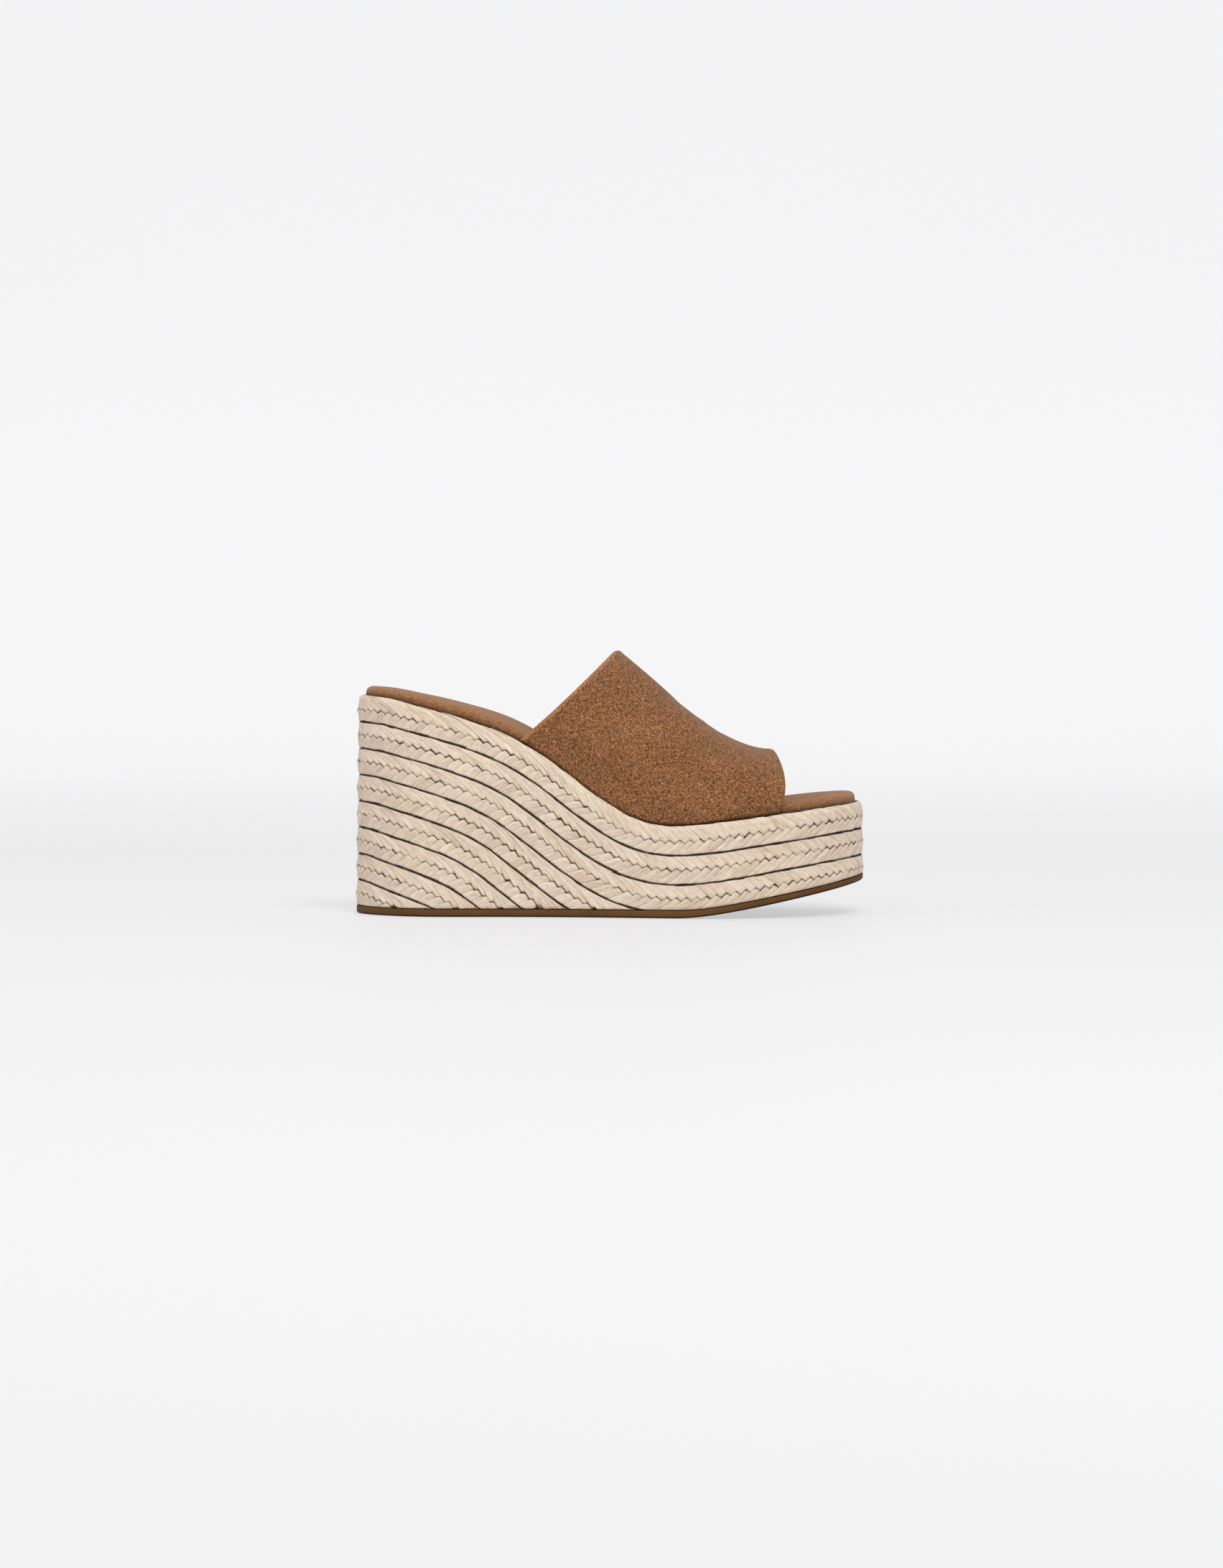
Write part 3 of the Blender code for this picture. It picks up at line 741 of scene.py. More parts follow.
@dataclass
class JuteWrap:
    """Rows of flat two-lane braid, laid strand by strand, each row a piece."""
    last: Last
    width: float = 0.0125
    thickness: float = WRAP
    row_gap: float = 0.0004
    row_end: float = 0.0010      # a row is there where this much of it shows above the sole
    fit: float = FIT
    pitch: float = 0.0047        # from one strand to the next along the row
    top_middle: float = 0.55     # where the lanes of the top row meet, as a share of its width
    other_middle: float = 0.50
    edge: float = 0.00055        # radius of a row's edges
    rim_edge: float = 0.0016     # of the top row's upper edge
    back_edge: float = 0.0010    # and of its back edge
    back_room: float = 0.0002    # left free behind the back edge
    sole_corner: float = 0.0006  # radius over which a strand turns inwards at the sole
    inset: float = 0.00070       # of the strands' undersides behind the wall's face
    edge_room: float = 0.00012   # for the strands' own height at a row's edge
    dome: float = 0.00012        # how much the row's middle stands out
    edge_height: tuple[float, float] = (0.00012, 0.00034)    # of a strand of each lane at the edge
    tip_height: tuple[float, float] = (0.00054, 0.00074)     # and at its tip
    tilt: tuple[float, float] = (0.00010, 0.00013)    # of a strand over the one before it
    under: float = 0.0006        # a strand's thickness below its edges
    dive: float = 0.0014         # how deep a strand's end goes under the other lane
    dive_run: float = 0.0010     # over this length, half of it before its end
    corner: float = 0.00050      # how far a strand's end is rounded at its sides
    squareness: float = 2.6      # of a strand's section, where 2 is an ellipse
    overlap: float = 1.24        # of a strand's width to its share of the row
    width_range: tuple[float, float] = (0.7, 1.8)    # limits of that share, in pitches
    most_out: float = 0.0004     # that a strand may stand out of the wall's face
    rim_rings: tuple[float, ...] = (0.0016, 0.0005)    # lengths of the first rings past the back
    edge_ring: float = 0.0012    # length of the first ring before any other edge
    free_end: float = 0.0012     # where the rings of the tip begin, before its end
    tip_rings: tuple[float, ...] = (-0.00050, -0.00010, 0.00030, 0.00080)
    across: tuple[float, ...] = (1.0, 0.86, 0.34, -0.34, -0.86, -1.0)    # over a strand's top
    across_under: tuple[float, ...] = (-0.6, 0.6)
    closed_cuts: int = 4         # rings over a strand's free length in a row that runs all round
    open_cuts: int = 9           # and in one that is cut off at the sole
    # Lengths and strengths of the painted shade on the strands:
    gap_shade: float = 0.0009    # length over which it is dark towards a gap between rows
    rim_shade: float = 0.0008    # and behind the top edge
    end_shade: float = 0.0007    # and towards a strand's end
    end_shade_strength: tuple[tuple[float, float], ...] = ((0.25, 0.75), (0.50, 1.00))
    usual_half: float = 0.0017   # half the width of a strand that lies at 45 degrees
    least_left: float = 0.0003   # what a strand shows above the sole, or else it is left out
    uneven_place: float = 0.00016    # spread of the strands' places along the row
    uneven_edge: float = 0.00010     # of their ends and edges
    uneven_level: float = 0.00004    # of how far they stand out
    uneven_height: float = 0.12      # of their height, as a share
    uneven_lay: float = 0.026        # of their lay's cotangent
    beyond_end: float = 0.045    # how far a row's line goes on past its ends at the sole
    turn_over: float = 0.030     # stretch at heel and toe over which the two lanes change roles
    hairs_to_metre: float = 420.0
    hair_length: tuple[float, float] = (0.0010, 0.0032)
    hair_lift: tuple[float, float] = (0.15, 0.75)
    hair_thickness: float = 0.00004
    hair_foot: float = 0.0004    # depth of a hair's foot
    hair_rings: int = 5
    points_along: int = 2881     # of a row's middle line
    seed: int = 11
    shares: tuple[float, ...] = (1.0, 1.005, 1.010, 1.015, 1.010, 1.020, 1.075, 1.095, 1.060, 1.025, 1.0)
    share_places: tuple[float, ...] = (0.0, 0.05, 0.12, 0.25, 0.38, 0.48, 0.57, 0.66, 0.77, 0.88, 1.0)
    lays: tuple[Lay, ...] = (
        Lay(0.000, 28, 36, 34, 38), Lay(0.075, 24, 36, 46, 45), Lay(0.190, 22, 35, 57, 47),
        Lay(0.245, 20, 33, 60, 47), Lay(0.300, 16, 31, 61, 47), Lay(0.360, 13, 29, 60, 46),
        Lay(0.415, 13, 29, 52, 46), Lay(0.470, 17, 31, 44, 45), Lay(0.530, 23, 36, 42, 45),
        Lay(0.585, 31, 42, 42, 45), Lay(0.640, 40, 47, 38, 45), Lay(0.700, 45, 50, 36, 44),
        Lay(0.755, 48, 52, 35, 44), Lay(0.870, 44, 48, 33, 42), Lay(1.000, 36, 42, 34, 41))

    def __post_init__(self) -> None:
        """Lay out the rows' even width and the splines."""
        height = self.last.heel_height - self.last.sole_thickness - self.fit
        self.count = max(1, round(height / self.width))
        self.even = height / self.count
        self.share_of = smooth_through(self.share_places, self.shares)
        self.lay_of = [curve_of(self.lays, itemgetter(i)) for i in range(1, 5)]

    def cotangents(self, at: Array, x: Array, lane: Lane) -> tuple[Array, Array, Array]:
        """Millimetres that strands run along the row for each one across it.

        The V of the braid points on round the shoe, so on the inner side, where the rows climb
        instead of falling, the two lanes change roles, smoothly round the heel and the toe.

        Args:
            at: Distances of the strands along the outline.
            x: Their places on the X axis.
            lane: Their lane.

        Returns:
            For this lane half way over it and where the lanes meet, and for the other lane there.
        """
        last = self.last
        at = np.mod(at, last.around)
        outside = np.where(at < last.toe_at, np.minimum(at, last.toe_at - at),
                           -np.minimum(at - last.toe_at, last.around - at))
        outer = ease(0.5 + outside / self.turn_over)
        upper, upper_tip, lower, lower_tip = (lay(last.share(x)) for lay in self.lay_of)
        if lane is Lane.LOWER:
            outer = 1 - outer
        own = outer * upper + (1 - outer) * lower
        tip = outer * upper_tip + (1 - outer) * lower_tip
        other = outer * lower_tip + (1 - outer) * upper_tip
        return tuple(1 / np.tan(np.radians(angle)) for angle in (own, tip, other))

    def slope(self, at: Array) -> Array:
        """Angle of the rows on the unrolled wall."""
        step = self.last.around / (self.points_along - 1)
        climb = self.last.rim(self.last.x_at(at + step)) - self.last.rim(self.last.x_at(at - step))
        return np.arctan2(climb, 2 * step)

    def below(self, at: Array, distance: Array, depth: Array) -> Array:
        """Points at a distance square to the top edge, measured on the unrolled wall."""
        slope = self.slope(at)
        z = self.last.rim(self.last.x_at(at)) - distance * np.cos(slope)
        return self.last.wall(at + distance * np.sin(slope), z, depth)

    def room(self, at: Array) -> Array:
        """Distance square to the top edge down to the sole, found by stepping there."""
        slope, rim = self.slope(at), self.last.rim(self.last.x_at(at))
        room = np.zeros_like(at)
        for _ in range(12):
            under = self.below(at, room, 0.0)[..., 0]
            room = (rim - self.last.sole_top(under) - self.fit) / np.cos(slope)
        return room

    def edges(self, row: int, at: Array) -> tuple[Array, Array]:
        """Top and bottom distance of a row."""
        pitch = self.even * self.share_of(self.last.share(self.last.x_at(at)))
        return row * pitch + (self.row_gap / 2 if row else 0), (row + 1) * pitch - self.row_gap / 2

    def path(self, row: int) -> RowPath | None:
        """The row's middle line, closed or open, or None where there is no such row."""
        at = np.linspace(0, self.last.around, self.points_along)
        first, last = self.edges(row, at)
        there = self.room(at) - first > self.row_end
        closed = bool(there.all())
        if not there.any():
            return None
        begins, ends = 0.0, self.last.around
        if not closed:
            gone = np.flatnonzero(~there)
            begins, ends = at[gone[-1] + 1] - self.last.around, at[gone[0] - 1]
            at = np.linspace(begins - self.beyond_end, ends + self.beyond_end, self.points_along)
            first, last = self.edges(row, at)
        length = run_along(self.below(at, (first + last) / 2, 0.0))
        begins, ends = np.interp([begins, ends], at, length)
        return RowPath(row, closed, at, length, begins, ends)

    def roll(self, along: Array, back: float, edge: float) -> tuple[Array, Array, Array, Array]:
        """A row's cross section, by the length along it from its edge: negative round the back.

        The face is straight. A quarter circle leads from it over the edge, a straight stretch
        runs back, and at a given length a smaller quarter circle turns down behind the row.

        Args:
            along: Lengths from the edge.
            back: Length at which the section turns down behind.
            edge: Radius of the edge.

        Returns:
            Distance from the edge, depth, and the two parts of the outward normal.
        """
        behind = self.back_edge
        over = np.clip(along / edge, 0, math.pi / 2)
        round_back = np.clip((-along - back) / behind, 0, math.pi / 2)
        across = edge * (1 - np.cos(over)) + np.maximum(along - edge * math.pi / 2, 0) \
            + behind * (1 - np.cos(round_back)) + np.maximum(-along - back - behind * math.pi / 2, 0)
        depth = edge * (1 - np.sin(over)) + np.clip(-along, 0, back) + behind * np.sin(round_back)
        normal_across = -np.cos(over) * np.cos(round_back)
        normal_depth = -np.sin(over) + np.sin(round_back)
        return across, depth, normal_across, normal_depth

    def tuck(self, at: Array, distance: Array, depth: Array) -> tuple[Array, Array]:
        """Turn what would lie below the sole's top edge inwards.

        It follows a quarter circle and then runs straight in, more and more slowly, as an
        exponential that stays inside the row's thickness.

        Args:
            at: Distances along the outline.
            distance: Distances square to the top edge.
            depth: Depths behind the wall's face.

        Returns:
            The new distances and depths.
        """
        limit, corner = self.room(at), self.sole_corner
        past = np.maximum(distance - (limit - corner), 0)
        turned = np.clip(past / corner, 0, math.pi / 2)
        left = self.thickness - corner - 2 * self.back_room
        beyond = np.maximum(past - corner * math.pi / 2, 0)
        inwards = corner * (1 - np.cos(turned)) + left * (1 - np.exp(-beyond / left))
        room_left = np.clip((self.thickness - self.back_room - depth) / self.thickness, 0, 1)
        lowered = np.where(past > 0, limit - corner + corner * np.sin(turned), distance)
        return lowered, depth + inwards * room_left

    def strand_section(self) -> tuple[Array, Array, Array]:
        """A strand's section: a superellipse above its edges and a flat underside.

        Returns:
            Places of its points across it from -1 to 1, the crown's share of its height there,
            and 1 at those beneath.
        """
        top, under = np.abs(self.across), np.zeros(len(self.across_under))
        crown = (1 - top ** self.squareness) ** (1 / self.squareness)
        return (np.append(self.across, self.across_under), np.append(crown, under),
                np.append(0 * top, under + 1))

    def strand_rings(self, middle: Array, edge: float, back: float | None,
                     closed: bool) -> tuple[Array, Array]:
        """Where a strand's rings lie: first behind and over the row's edge, then evenly, then its tip.

        Args:
            middle: Lengths from the row's edge to the ends of the strands.
            edge: Radius of the edge.
            back: Length to the back edge, for strands that reach over it.
            closed: Whether the row runs all round.

        Returns:
            Lengths of the rings from the edge, strand by strand, and how much each ring slants
            as the strand's end does.
        """
        quarter = edge * math.pi / 2
        behind = [-self.edge_ring] if back is None else \
            [*(-back - ring for ring in self.rim_rings), -back / 2]
        fixed = np.array([*behind, 0.0, quarter / 2, quarter])
        cuts = self.closed_cuts if closed else self.open_cuts
        part = np.arange(1, cuts + 1) / cuts
        free = quarter + (middle - self.free_end - quarter)[:, None] * part
        tip = middle[:, None] + np.array(self.tip_rings)
        along = np.concatenate([np.broadcast_to(fixed, (len(middle), len(fixed))), free, tip], axis=1)
        return along, np.concatenate([0 * fixed, 0.9 * part ** 3, np.ones(len(self.tip_rings))])

    def strands(self, path: RowPath, lane: Lane, random: np.random.Generator) -> Shell:
        """All strands of one lane, each a flat closed tube of rings from the edge to its tip.

        A strand's run along the row is the integral of a cotangent that changes evenly over the
        lane. It lies over the one before it, and at its blunt end dives under the next strand of
        the other lane: its end lies along that strand's side, so it slants across by the pitch
        over twice the sum of both cotangents.

        Args:
            path: The row's middle line.
            lane: Which lane.
            random: Source of the strands' small differences.

        Returns:
            The strands, their lay in metres, their tone and how much painted shade of the grooves they
            carry.
        """
        last, lower = self.last, lane is Lane.LOWER
        count = round(path.total / self.pitch) if path.closed else int(path.total / self.pitch)
        pitch = path.total / count if path.closed else self.pitch
        middle_u = (np.arange(count) + (0.5 if lower else 0.0)) * pitch \
            + random.normal(0, self.uneven_place, count)
        anchor = path.at_of(middle_u, last.around)
        first, bottom = self.edges(path.row, anchor)
        place = self.below(anchor, (first + bottom) / 2, 0.0)[..., 0]
        own, tip_own, tip_other = self.cotangents(anchor, place, lane)
        turned = random.normal(0, self.uneven_lay, count)
        own, tip_own = own + turned, tip_own + turned
        slant = pitch / (2 * (tip_own + tip_other))
        share = self.top_middle if path.row == 0 else self.other_middle
        share = 1 - share if lower else share
        rim = path.row == 0 and not lower
        edge = self.rim_edge if rim else self.edge
        back = self.thickness - self.inset - edge - self.back_edge - self.back_room
        middle = edge * (math.pi / 2 - 1) + share * (bottom - first) \
            + random.normal(0, self.uneven_edge, count)
        along, skew = self.strand_rings(middle, edge, back if rim else None, path.closed)
        across, crown, beneath = (part[None, None] for part in self.strand_section())
        rings, size = along.shape[1], across.shape[2]
        column = (slice(None), None, None)
        own, tip_own, slant, middle = own[column], tip_own[column], slant[column], middle[column]
        at_edge = np.clip(2 * own - tip_own, 0, 1.6)

        def line(along: Array) -> Array:
            """Place along the row of a strand's middle line, for a length from the row's edge."""
            left = 1 - np.clip(along / middle, 0, 1)
            return middle_u[column] - middle * (tip_own * left + (own - tip_own) * left ** 2) \
                + np.minimum(along, 0) * at_edge + tip_own * np.maximum(along - middle, 0)

        spread = np.gradient(line(along[:, :, None]), axis=0)
        half = np.clip(spread, *(pitch * limit for limit in self.width_range)) * self.overlap / 2
        along = along[:, :, None] - across * slant * skew[None, :, None]
        way = np.clip(along / middle, 0, 1)
        u = line(along) + across * half
        towards_tip = ease((way - 0.35) / 0.6)
        narrow = half / np.hypot(1, tip_own + 2 * (own - tip_own) * (1 - way))
        flat = np.clip(narrow / self.usual_half, 0.3, 1)
        height = self.edge_height[lane.value] \
            + (self.tip_height[lane.value] - self.edge_height[lane.value]) * towards_tip
        height = height * flat * (1 + random.normal(0, self.uneven_height, (count, 1, 1)))
        beyond = along - (middle - across * slant - self.corner * across ** 8)
        dived = ease(0.5 + beyond / self.dive_run)
        level = random.normal(0, self.uneven_level, (count, 1, 1))
        tilt = -across * self.tilt[lane.value] * (0.4 + 0.6 * towards_tip) * flat
        h = height * crown + tilt - beneath * self.under - dived * self.dive + level

        y, depth, normal_y, normal_depth = self.roll(along, back, edge)
        face = middle - edge * (math.pi / 2 - 1)
        depth = depth + self.inset + self.dome * np.clip(1 - y / face, 0, 1) ** 2
        y = y + self.edge_room + random.normal(0, self.uneven_edge, (count, 1, 1)) + h * normal_y
        depth = np.clip(depth + h * normal_depth, -self.most_out, self.thickness + 0.0001)
        at = path.at_of(u, last.around)
        top_edge, bottom_edge = self.edges(path.row, at)
        distance = bottom_edge - y if lower else top_edge + y
        distance, depth = self.tuck(at, distance, depth)
        points = self.below(at, distance, depth)
        keep = np.ones(count, bool)
        if not path.closed:
            keep = (self.room(at[:, :, 2]) - distance[:, :, 2] > self.least_left).any(axis=1)
        length = run_along(points[:, :, 2])[:, :, None]
        offset = random.uniform(0, 4, (count, 1, 1))
        lay = np.stack(np.broadcast_arrays(across * narrow + offset, length + offset * 3), axis=-1)
        # Painted shade: dark along a strand's borders towards its tip, towards its end where it dives,
        # towards a gap between rows or behind the top edge, and underneath.
        border = (1 - crown) ** 1.5 * (0.10 + 0.90 * towards_tip ** 3)
        in_gap = np.clip((-along - back) / self.rim_shade if rim else 1 - along / self.gap_shade, 0, 1)
        end = ease((beyond + self.end_shade) / self.end_shade) \
            * random.uniform(*self.end_shade_strength[lane.value], (count, 1, 1))
        groove = np.clip(np.maximum.reduce(np.broadcast_arrays(border, end, in_gap, beneath)), 0, 1)
        tone = np.broadcast_to(random.normal(0, 1, (count, 1, 1)), groove.shape)
        quads = repeated(tube_quads(rings, size), keep.sum(), rings * size)
        return Shell(points[keep].reshape(-1, 3), quads,
                     {"groove": groove[keep].ravel(), "tone": tone[keep].ravel()},
                     lay[keep].reshape(-1, 2)).outward()

    def hairs(self, path: RowPath, count: int, random: np.random.Generator) -> Shell:
        """Loose fibres: thin four-sided tubes along a parabola that leaves the face and bends over.

        Args:
            path: The row's middle line.
            count: How many.
            random: Source of their places, lengths and directions.

        Returns:
            The hairs, with the values and lay that the strands have.
        """
        along = random.uniform(path.begins, path.ends, count)
        at = path.at_of(along, self.last.around)
        first, bottom = self.edges(path.row, at)
        distance = first + (bottom - first) * random.uniform(0.02, 0.98, count)
        fits = self.room(at) - distance > 0.0015
        at, distance = at[fits], distance[fits]
        count = len(at)
        foot = self.below(at, distance, self.hair_foot)
        ahead = unit(self.below(at + 0.001, distance, self.hair_foot) - foot)
        down = unit(self.below(at, distance + 0.001, self.hair_foot) - foot)
        out = np.cross(down, ahead)
        side = random.uniform(-math.pi, math.pi, (count, 1))
        flat = np.cos(side) * ahead + np.sin(side) * down
        length = random.uniform(*self.hair_length, (count, 1))
        lift = random.uniform(*self.hair_lift, (count, 1))
        bend = random.normal(0, 0.5, (count, 1)) * np.cross(out, flat) - 0.4 * lift * out
        way = np.linspace(0, 1, self.hair_rings)[None, :, None]
        middle = foot[:, None] + length[:, None] * (
            way * (flat + lift * out)[:, None] + way ** 2 * bend[:, None])
        turn = np.arange(4) * math.pi / 2
        beside = np.cross(out, flat)
        thick = self.hair_thickness * (1.1 - 0.8 * way)
        ring = beside[:, None, None] * np.cos(turn)[None, None, :, None] \
            + out[:, None, None] * np.sin(turn)[None, None, :, None]
        points = middle[:, :, None] + ring * thick[..., None]
        quads = repeated(tube_quads(self.hair_rings, 4), count, self.hair_rings * 4)
        lay = np.stack(np.broadcast_arrays(random.uniform(0, 4, (count, 1)), way[0, :, 0] * 0.002),
                       axis=-1)
        ones = np.ones(points.size // 3)
        return Shell(points.reshape(-1, 3), quads, {"groove": 0 * ones, "tone": 1.5 * ones},
                     np.repeat(lay.reshape(-1, 2), 4, axis=0)).outward()

    def backing(self, path: RowPath) -> Shell:
        """A strip of box section behind the strands, so that nothing shows through between them, wholly
        in the painted shade colour.
        """
        count = 720 if path.closed else 480
        along = np.linspace(path.begins, path.ends, count, endpoint=not path.closed)
        at = path.at_of(along, self.last.around)
        top, bottom = self.edges(path.row, at)
        margin, least, limit = 0.0011, 0.0002, self.room(at) - 0.0003
        top, bottom = np.minimum(top + margin, limit - least), np.minimum(bottom - margin, limit)
        front, rear = self.inset + 0.0013, self.thickness - 0.0001
        points = np.stack([self.below(at, distance, depth) for distance, depth in (
            (top, rear), (top, front), (bottom, front), (bottom, rear))], axis=1)
        quads = grid_quads(count, 4, wrap_rows=True, wrap_columns=True) if path.closed \
            else tube_quads(count, 4)
        # The backing carries full painted shade.
        ones = np.ones(4 * count)
        return Shell(points.reshape(-1, 3), quads, {"groove": ones, "tone": 0 * ones},
                     np.zeros((4 * count, 2))).outward()

    def dress(self, material: bpy.types.Material) -> list[bpy.types.Object]:
        """Build all rows as pieces that replace the plain ones."""
        random = np.random.default_rng(self.seed)
        pieces = []
        for row in range(self.count + 1):
            path = self.path(row)
            name = f"braid_row_{row + 1}"
            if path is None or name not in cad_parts:
                continue
            shells = [self.backing(path)] + [self.strands(path, lane, random) for lane in Lane]
            shells.append(self.hairs(path, int(path.total * self.hairs_to_metre), random))
            pieces.append(make_piece(f"jute_row_{row + 1}", joined(shells), material, name))
        return pieces


# Footbed, band and sole

def plate(rings: Sequence[Array], top: Callable[[Array, Array, Array], Array],
          bottom: Callable[[Array, Array, Array], Array], across: int) -> Shell:
    """A closed plate with the shoe's outline: rings up its side, and lines from side to side.

    A point of such a line divides the straight line between two ring points that face each
    other, closer together towards the sides as the cosine is, and its height is worked out.

    Args:
        rings: Points round the outline, the same number in each, from the bottom up.
        top: Height of the top from x, y and the share of the way to the inner side.
        bottom: Height of the bottom from the same.
        across: Number of cells from side to side.

    Returns:
        The plate. Its points at heel and toe meet, and are merged when it becomes a mesh.
    """
    size = len(rings[0])
    half = size // 2
    way = ((1 - np.cos(np.linspace(0, math.pi, across + 1)[1:-1])) / 2)[None]
    points, quads = [np.concatenate(rings)], [grid_quads(len(rings), size, wrap_columns=True)]
    start = len(rings) * size
    for first, ring, height in ((0, rings[0], bottom), ((len(rings) - 1) * size, rings[-1], top)):
        outer, opposite = ring[1:half], ring[:half:-1]
        lines = outer[:, None] + (opposite - outer)[:, None] * way[..., None]
        lines[..., 2] = height(lines[..., 0], lines[..., 1], way)
        lines = np.concatenate([np.broadcast_to(ring[0], lines[:1].shape), lines,
                                np.broadcast_to(ring[half], lines[:1].shape)])
        numbers = start + np.arange(lines.shape[0] * lines.shape[1]).reshape(lines.shape[:2])
        table = np.concatenate([(first + np.arange(half + 1))[:, None], numbers,
                                (first + (size - np.arange(half + 1)) % size)[:, None]], axis=1)
        cells = np.stack([table[:-1, :-1], table[:-1, 1:], table[1:, 1:], table[1:, :-1]], axis=-1)
        quads.append(cells.reshape(-1, 4)[:, ::1 if first else -1])
        points.append(lines.reshape(-1, 3))
        start += numbers.size
    return Shell(np.concatenate(points), np.concatenate(quads))


@dataclass
class Footbed:
    """The padded, suede-covered footbed."""
    last: Last
    rise: float = 0.0049         # over the wrap's top edge
    sink: float = 0.0015         # below it
    edge_radius: float = 0.0030
    crown: float = 0.0006
    arch: float = 0.0022
    undercut: float = 0.0006
    seat_run: float = 0.0090     # stretch over which its side steps in beside the band
    seat_margin: float = 0.0015
    # Painted shade: the side darkens downwards, and a painted contact shadow lines its foot.
    side_shade: float = 0.0044   # height of the side, over which it darkens downwards
    foot_shade: float = 0.0010   # height of the dark line where it meets the wrap
    half: int = 150              # points along each side of the outline
    across: int = 22             # cells from side to side
    arc: int = 5                 # cells over the rounded edge
    pressure: float = 4.0
    held_height: float = 0.0006  # of the lower edge that the cloth is held at
    frames: int = 20
    swell: float = 0.0009        # the most that the cover may swell

    def __post_init__(self) -> None:
        """Lay out the splines of its thickness."""
        pads = [Pad(0.00, 0.86, 0.00), Pad(0.06, 0.94, 0.00), Pad(0.13, 1.00, 0.05),
                Pad(0.24, 1.06, 0.45), Pad(0.34, 1.15, 1.00), Pad(0.45, 1.12, 0.90),
                Pad(0.60, 1.00, 0.20), Pad(0.75, 1.02, 0.00), Pad(0.90, 1.06, 0.00),
                Pad(1.00, 1.06, 0.00)]
        self.rise_of = curve_of(pads, lambda pad: self.rise * pad.rise)
        self.arch_of = curve_of(pads, lambda pad: self.arch * pad.arch)

    def seat_depth(self, stations: Array) -> Array:
        """Depth of the edge behind the wall's face: more where the band lies outside it."""
        outer = stations < self.last.toe_at
        back = np.where(outer, BAND_BACK_OUTER, BAND_BACK_INNER)
        from_heel = self.last.x_at(stations) + self.last.length / 2
        inside = np.minimum(from_heel - back, BAND_FRONT - from_heel) + self.seat_margin
        return WRAP + FIT + (BAND_WALL + FIT) * ease(1 + inside / self.seat_run)

    def shell(self) -> Shell:
        """Upright side, rounded edge, and a top crowned by a parabola and raised at the arch.

        The crown fades to the two ends as the sine of the outline's angle, and the arch rises
        by the square of the way across.
        """
        last = self.last
        stations = last.stations(self.half)
        edge = self.seat_depth(stations)
        inner = (stations > last.toe_at).astype(float)

        def side_top(x: Array) -> Array:
            """Height of the top surface at the edge."""
            return last.rim(x) + self.rise_of(last.share(x)) + self.arch_of(last.share(x)) * inner

        def top(x: Array, y: Array, way: Array) -> Array:
            """Height of the top surface."""
            share = last.share(x)
            crown = self.crown * 4 * way * (1 - way) * np.sin(turn_of(share))
            return last.rim(x) + self.rise_of(share) + crown + self.arch_of(share) * way * way

        def bottom(x: Array, y: Array = 0.0, way: Array = 0.0) -> Array:
            """Height of the underside."""
            return last.rim(x) - self.sink

        rings = [last.ring(stations, bottom, edge + self.undercut),
                 last.ring(stations, lambda x: bottom(x) + self.undercut, edge)]
        for turn in np.linspace(0, math.pi / 2, self.arc + 1):
            drop = self.edge_radius * (1 - math.sin(turn))
            inwards = self.edge_radius * (1 - math.cos(turn))
            rings.append(last.ring(stations, lambda x: side_top(x) - drop, edge + inwards))
        shell = plate(rings, top, bottom, self.across)
        above = shell.points[:, 2] - last.rim(shell.points[:, 0])
        # Painted shade: the side darkens towards the wrap, with a painted contact shadow where it meets
        # it.
        shell.values["shade"] = 0.60 * ease(1 - above / self.side_shade) \
            + 0.40 * np.clip(1.5 - above / self.foot_shade, 0, 1)
        shell.values["turned"] = 0 * above
        return shell

    def puff(self, piece: bpy.types.Object) -> None:
        """Blow up the cover a little in a cloth simulation whose lower edge is held.

        The whole movement is scaled down until no point moves further than the most swell.

        Args:
            piece: The footbed.
        """
        mesh = piece.data
        before = np.empty(len(mesh.vertices) * 3)
        mesh.vertices.foreach_get("co", before)
        before = before.reshape(-1, 3)
        above = before[:, 2] - self.last.rim(before[:, 0])
        held = piece.vertex_groups.new(name="held")
        held.add(np.flatnonzero(above < self.held_height).tolist(), 1.0, "REPLACE")
        cloth = piece.modifiers.new("Cloth", "CLOTH")
        for key, value in {
                "quality": 6, "mass": 0.15, "tension_stiffness": 25, "compression_stiffness": 25,
                "bending_stiffness": 2.0, "vertex_group_mass": held.name, "use_pressure": True,
                "uniform_pressure_force": self.pressure}.items():
            setattr(cloth.settings, key, value)
        cloth.settings.effector_weights.gravity = 0.0
        cloth.collision_settings.use_collision = False
        scene = bpy.context.scene
        for number in range(1, self.frames + 1):
            scene.frame_set(number)
        blown = piece.evaluated_get(bpy.context.evaluated_depsgraph_get())
        after = np.empty(before.size)
        blown.to_mesh().vertices.foreach_get("co", after)
        blown.to_mesh_clear()
        way = after.reshape(-1, 3) - before
        far = np.linalg.norm(way, axis=1, keepdims=True)
        LOG.info("footbed cover moved up to %.2f mm before the limit", 1000 * far.max())
        way *= min(1.0, self.swell / float(far.max()))
        scene.frame_set(1)
        piece.modifiers.remove(cloth)
        piece.vertex_groups.remove(held)
        mesh.vertices.foreach_set("co", (before + way).astype(np.float32).ravel())
        mesh.update()

    def dress(self, material: bpy.types.Material) -> bpy.types.Object:
        """Build the footbed in place of the plain one."""
        piece = make_piece("footbed", self.shell(), material, "insole", merge=1e-7)
        self.puff(piece)
        smooth = piece.modifiers.new("Smooth", "SUBSURF")
        smooth.levels = smooth.render_levels = 1
        return piece


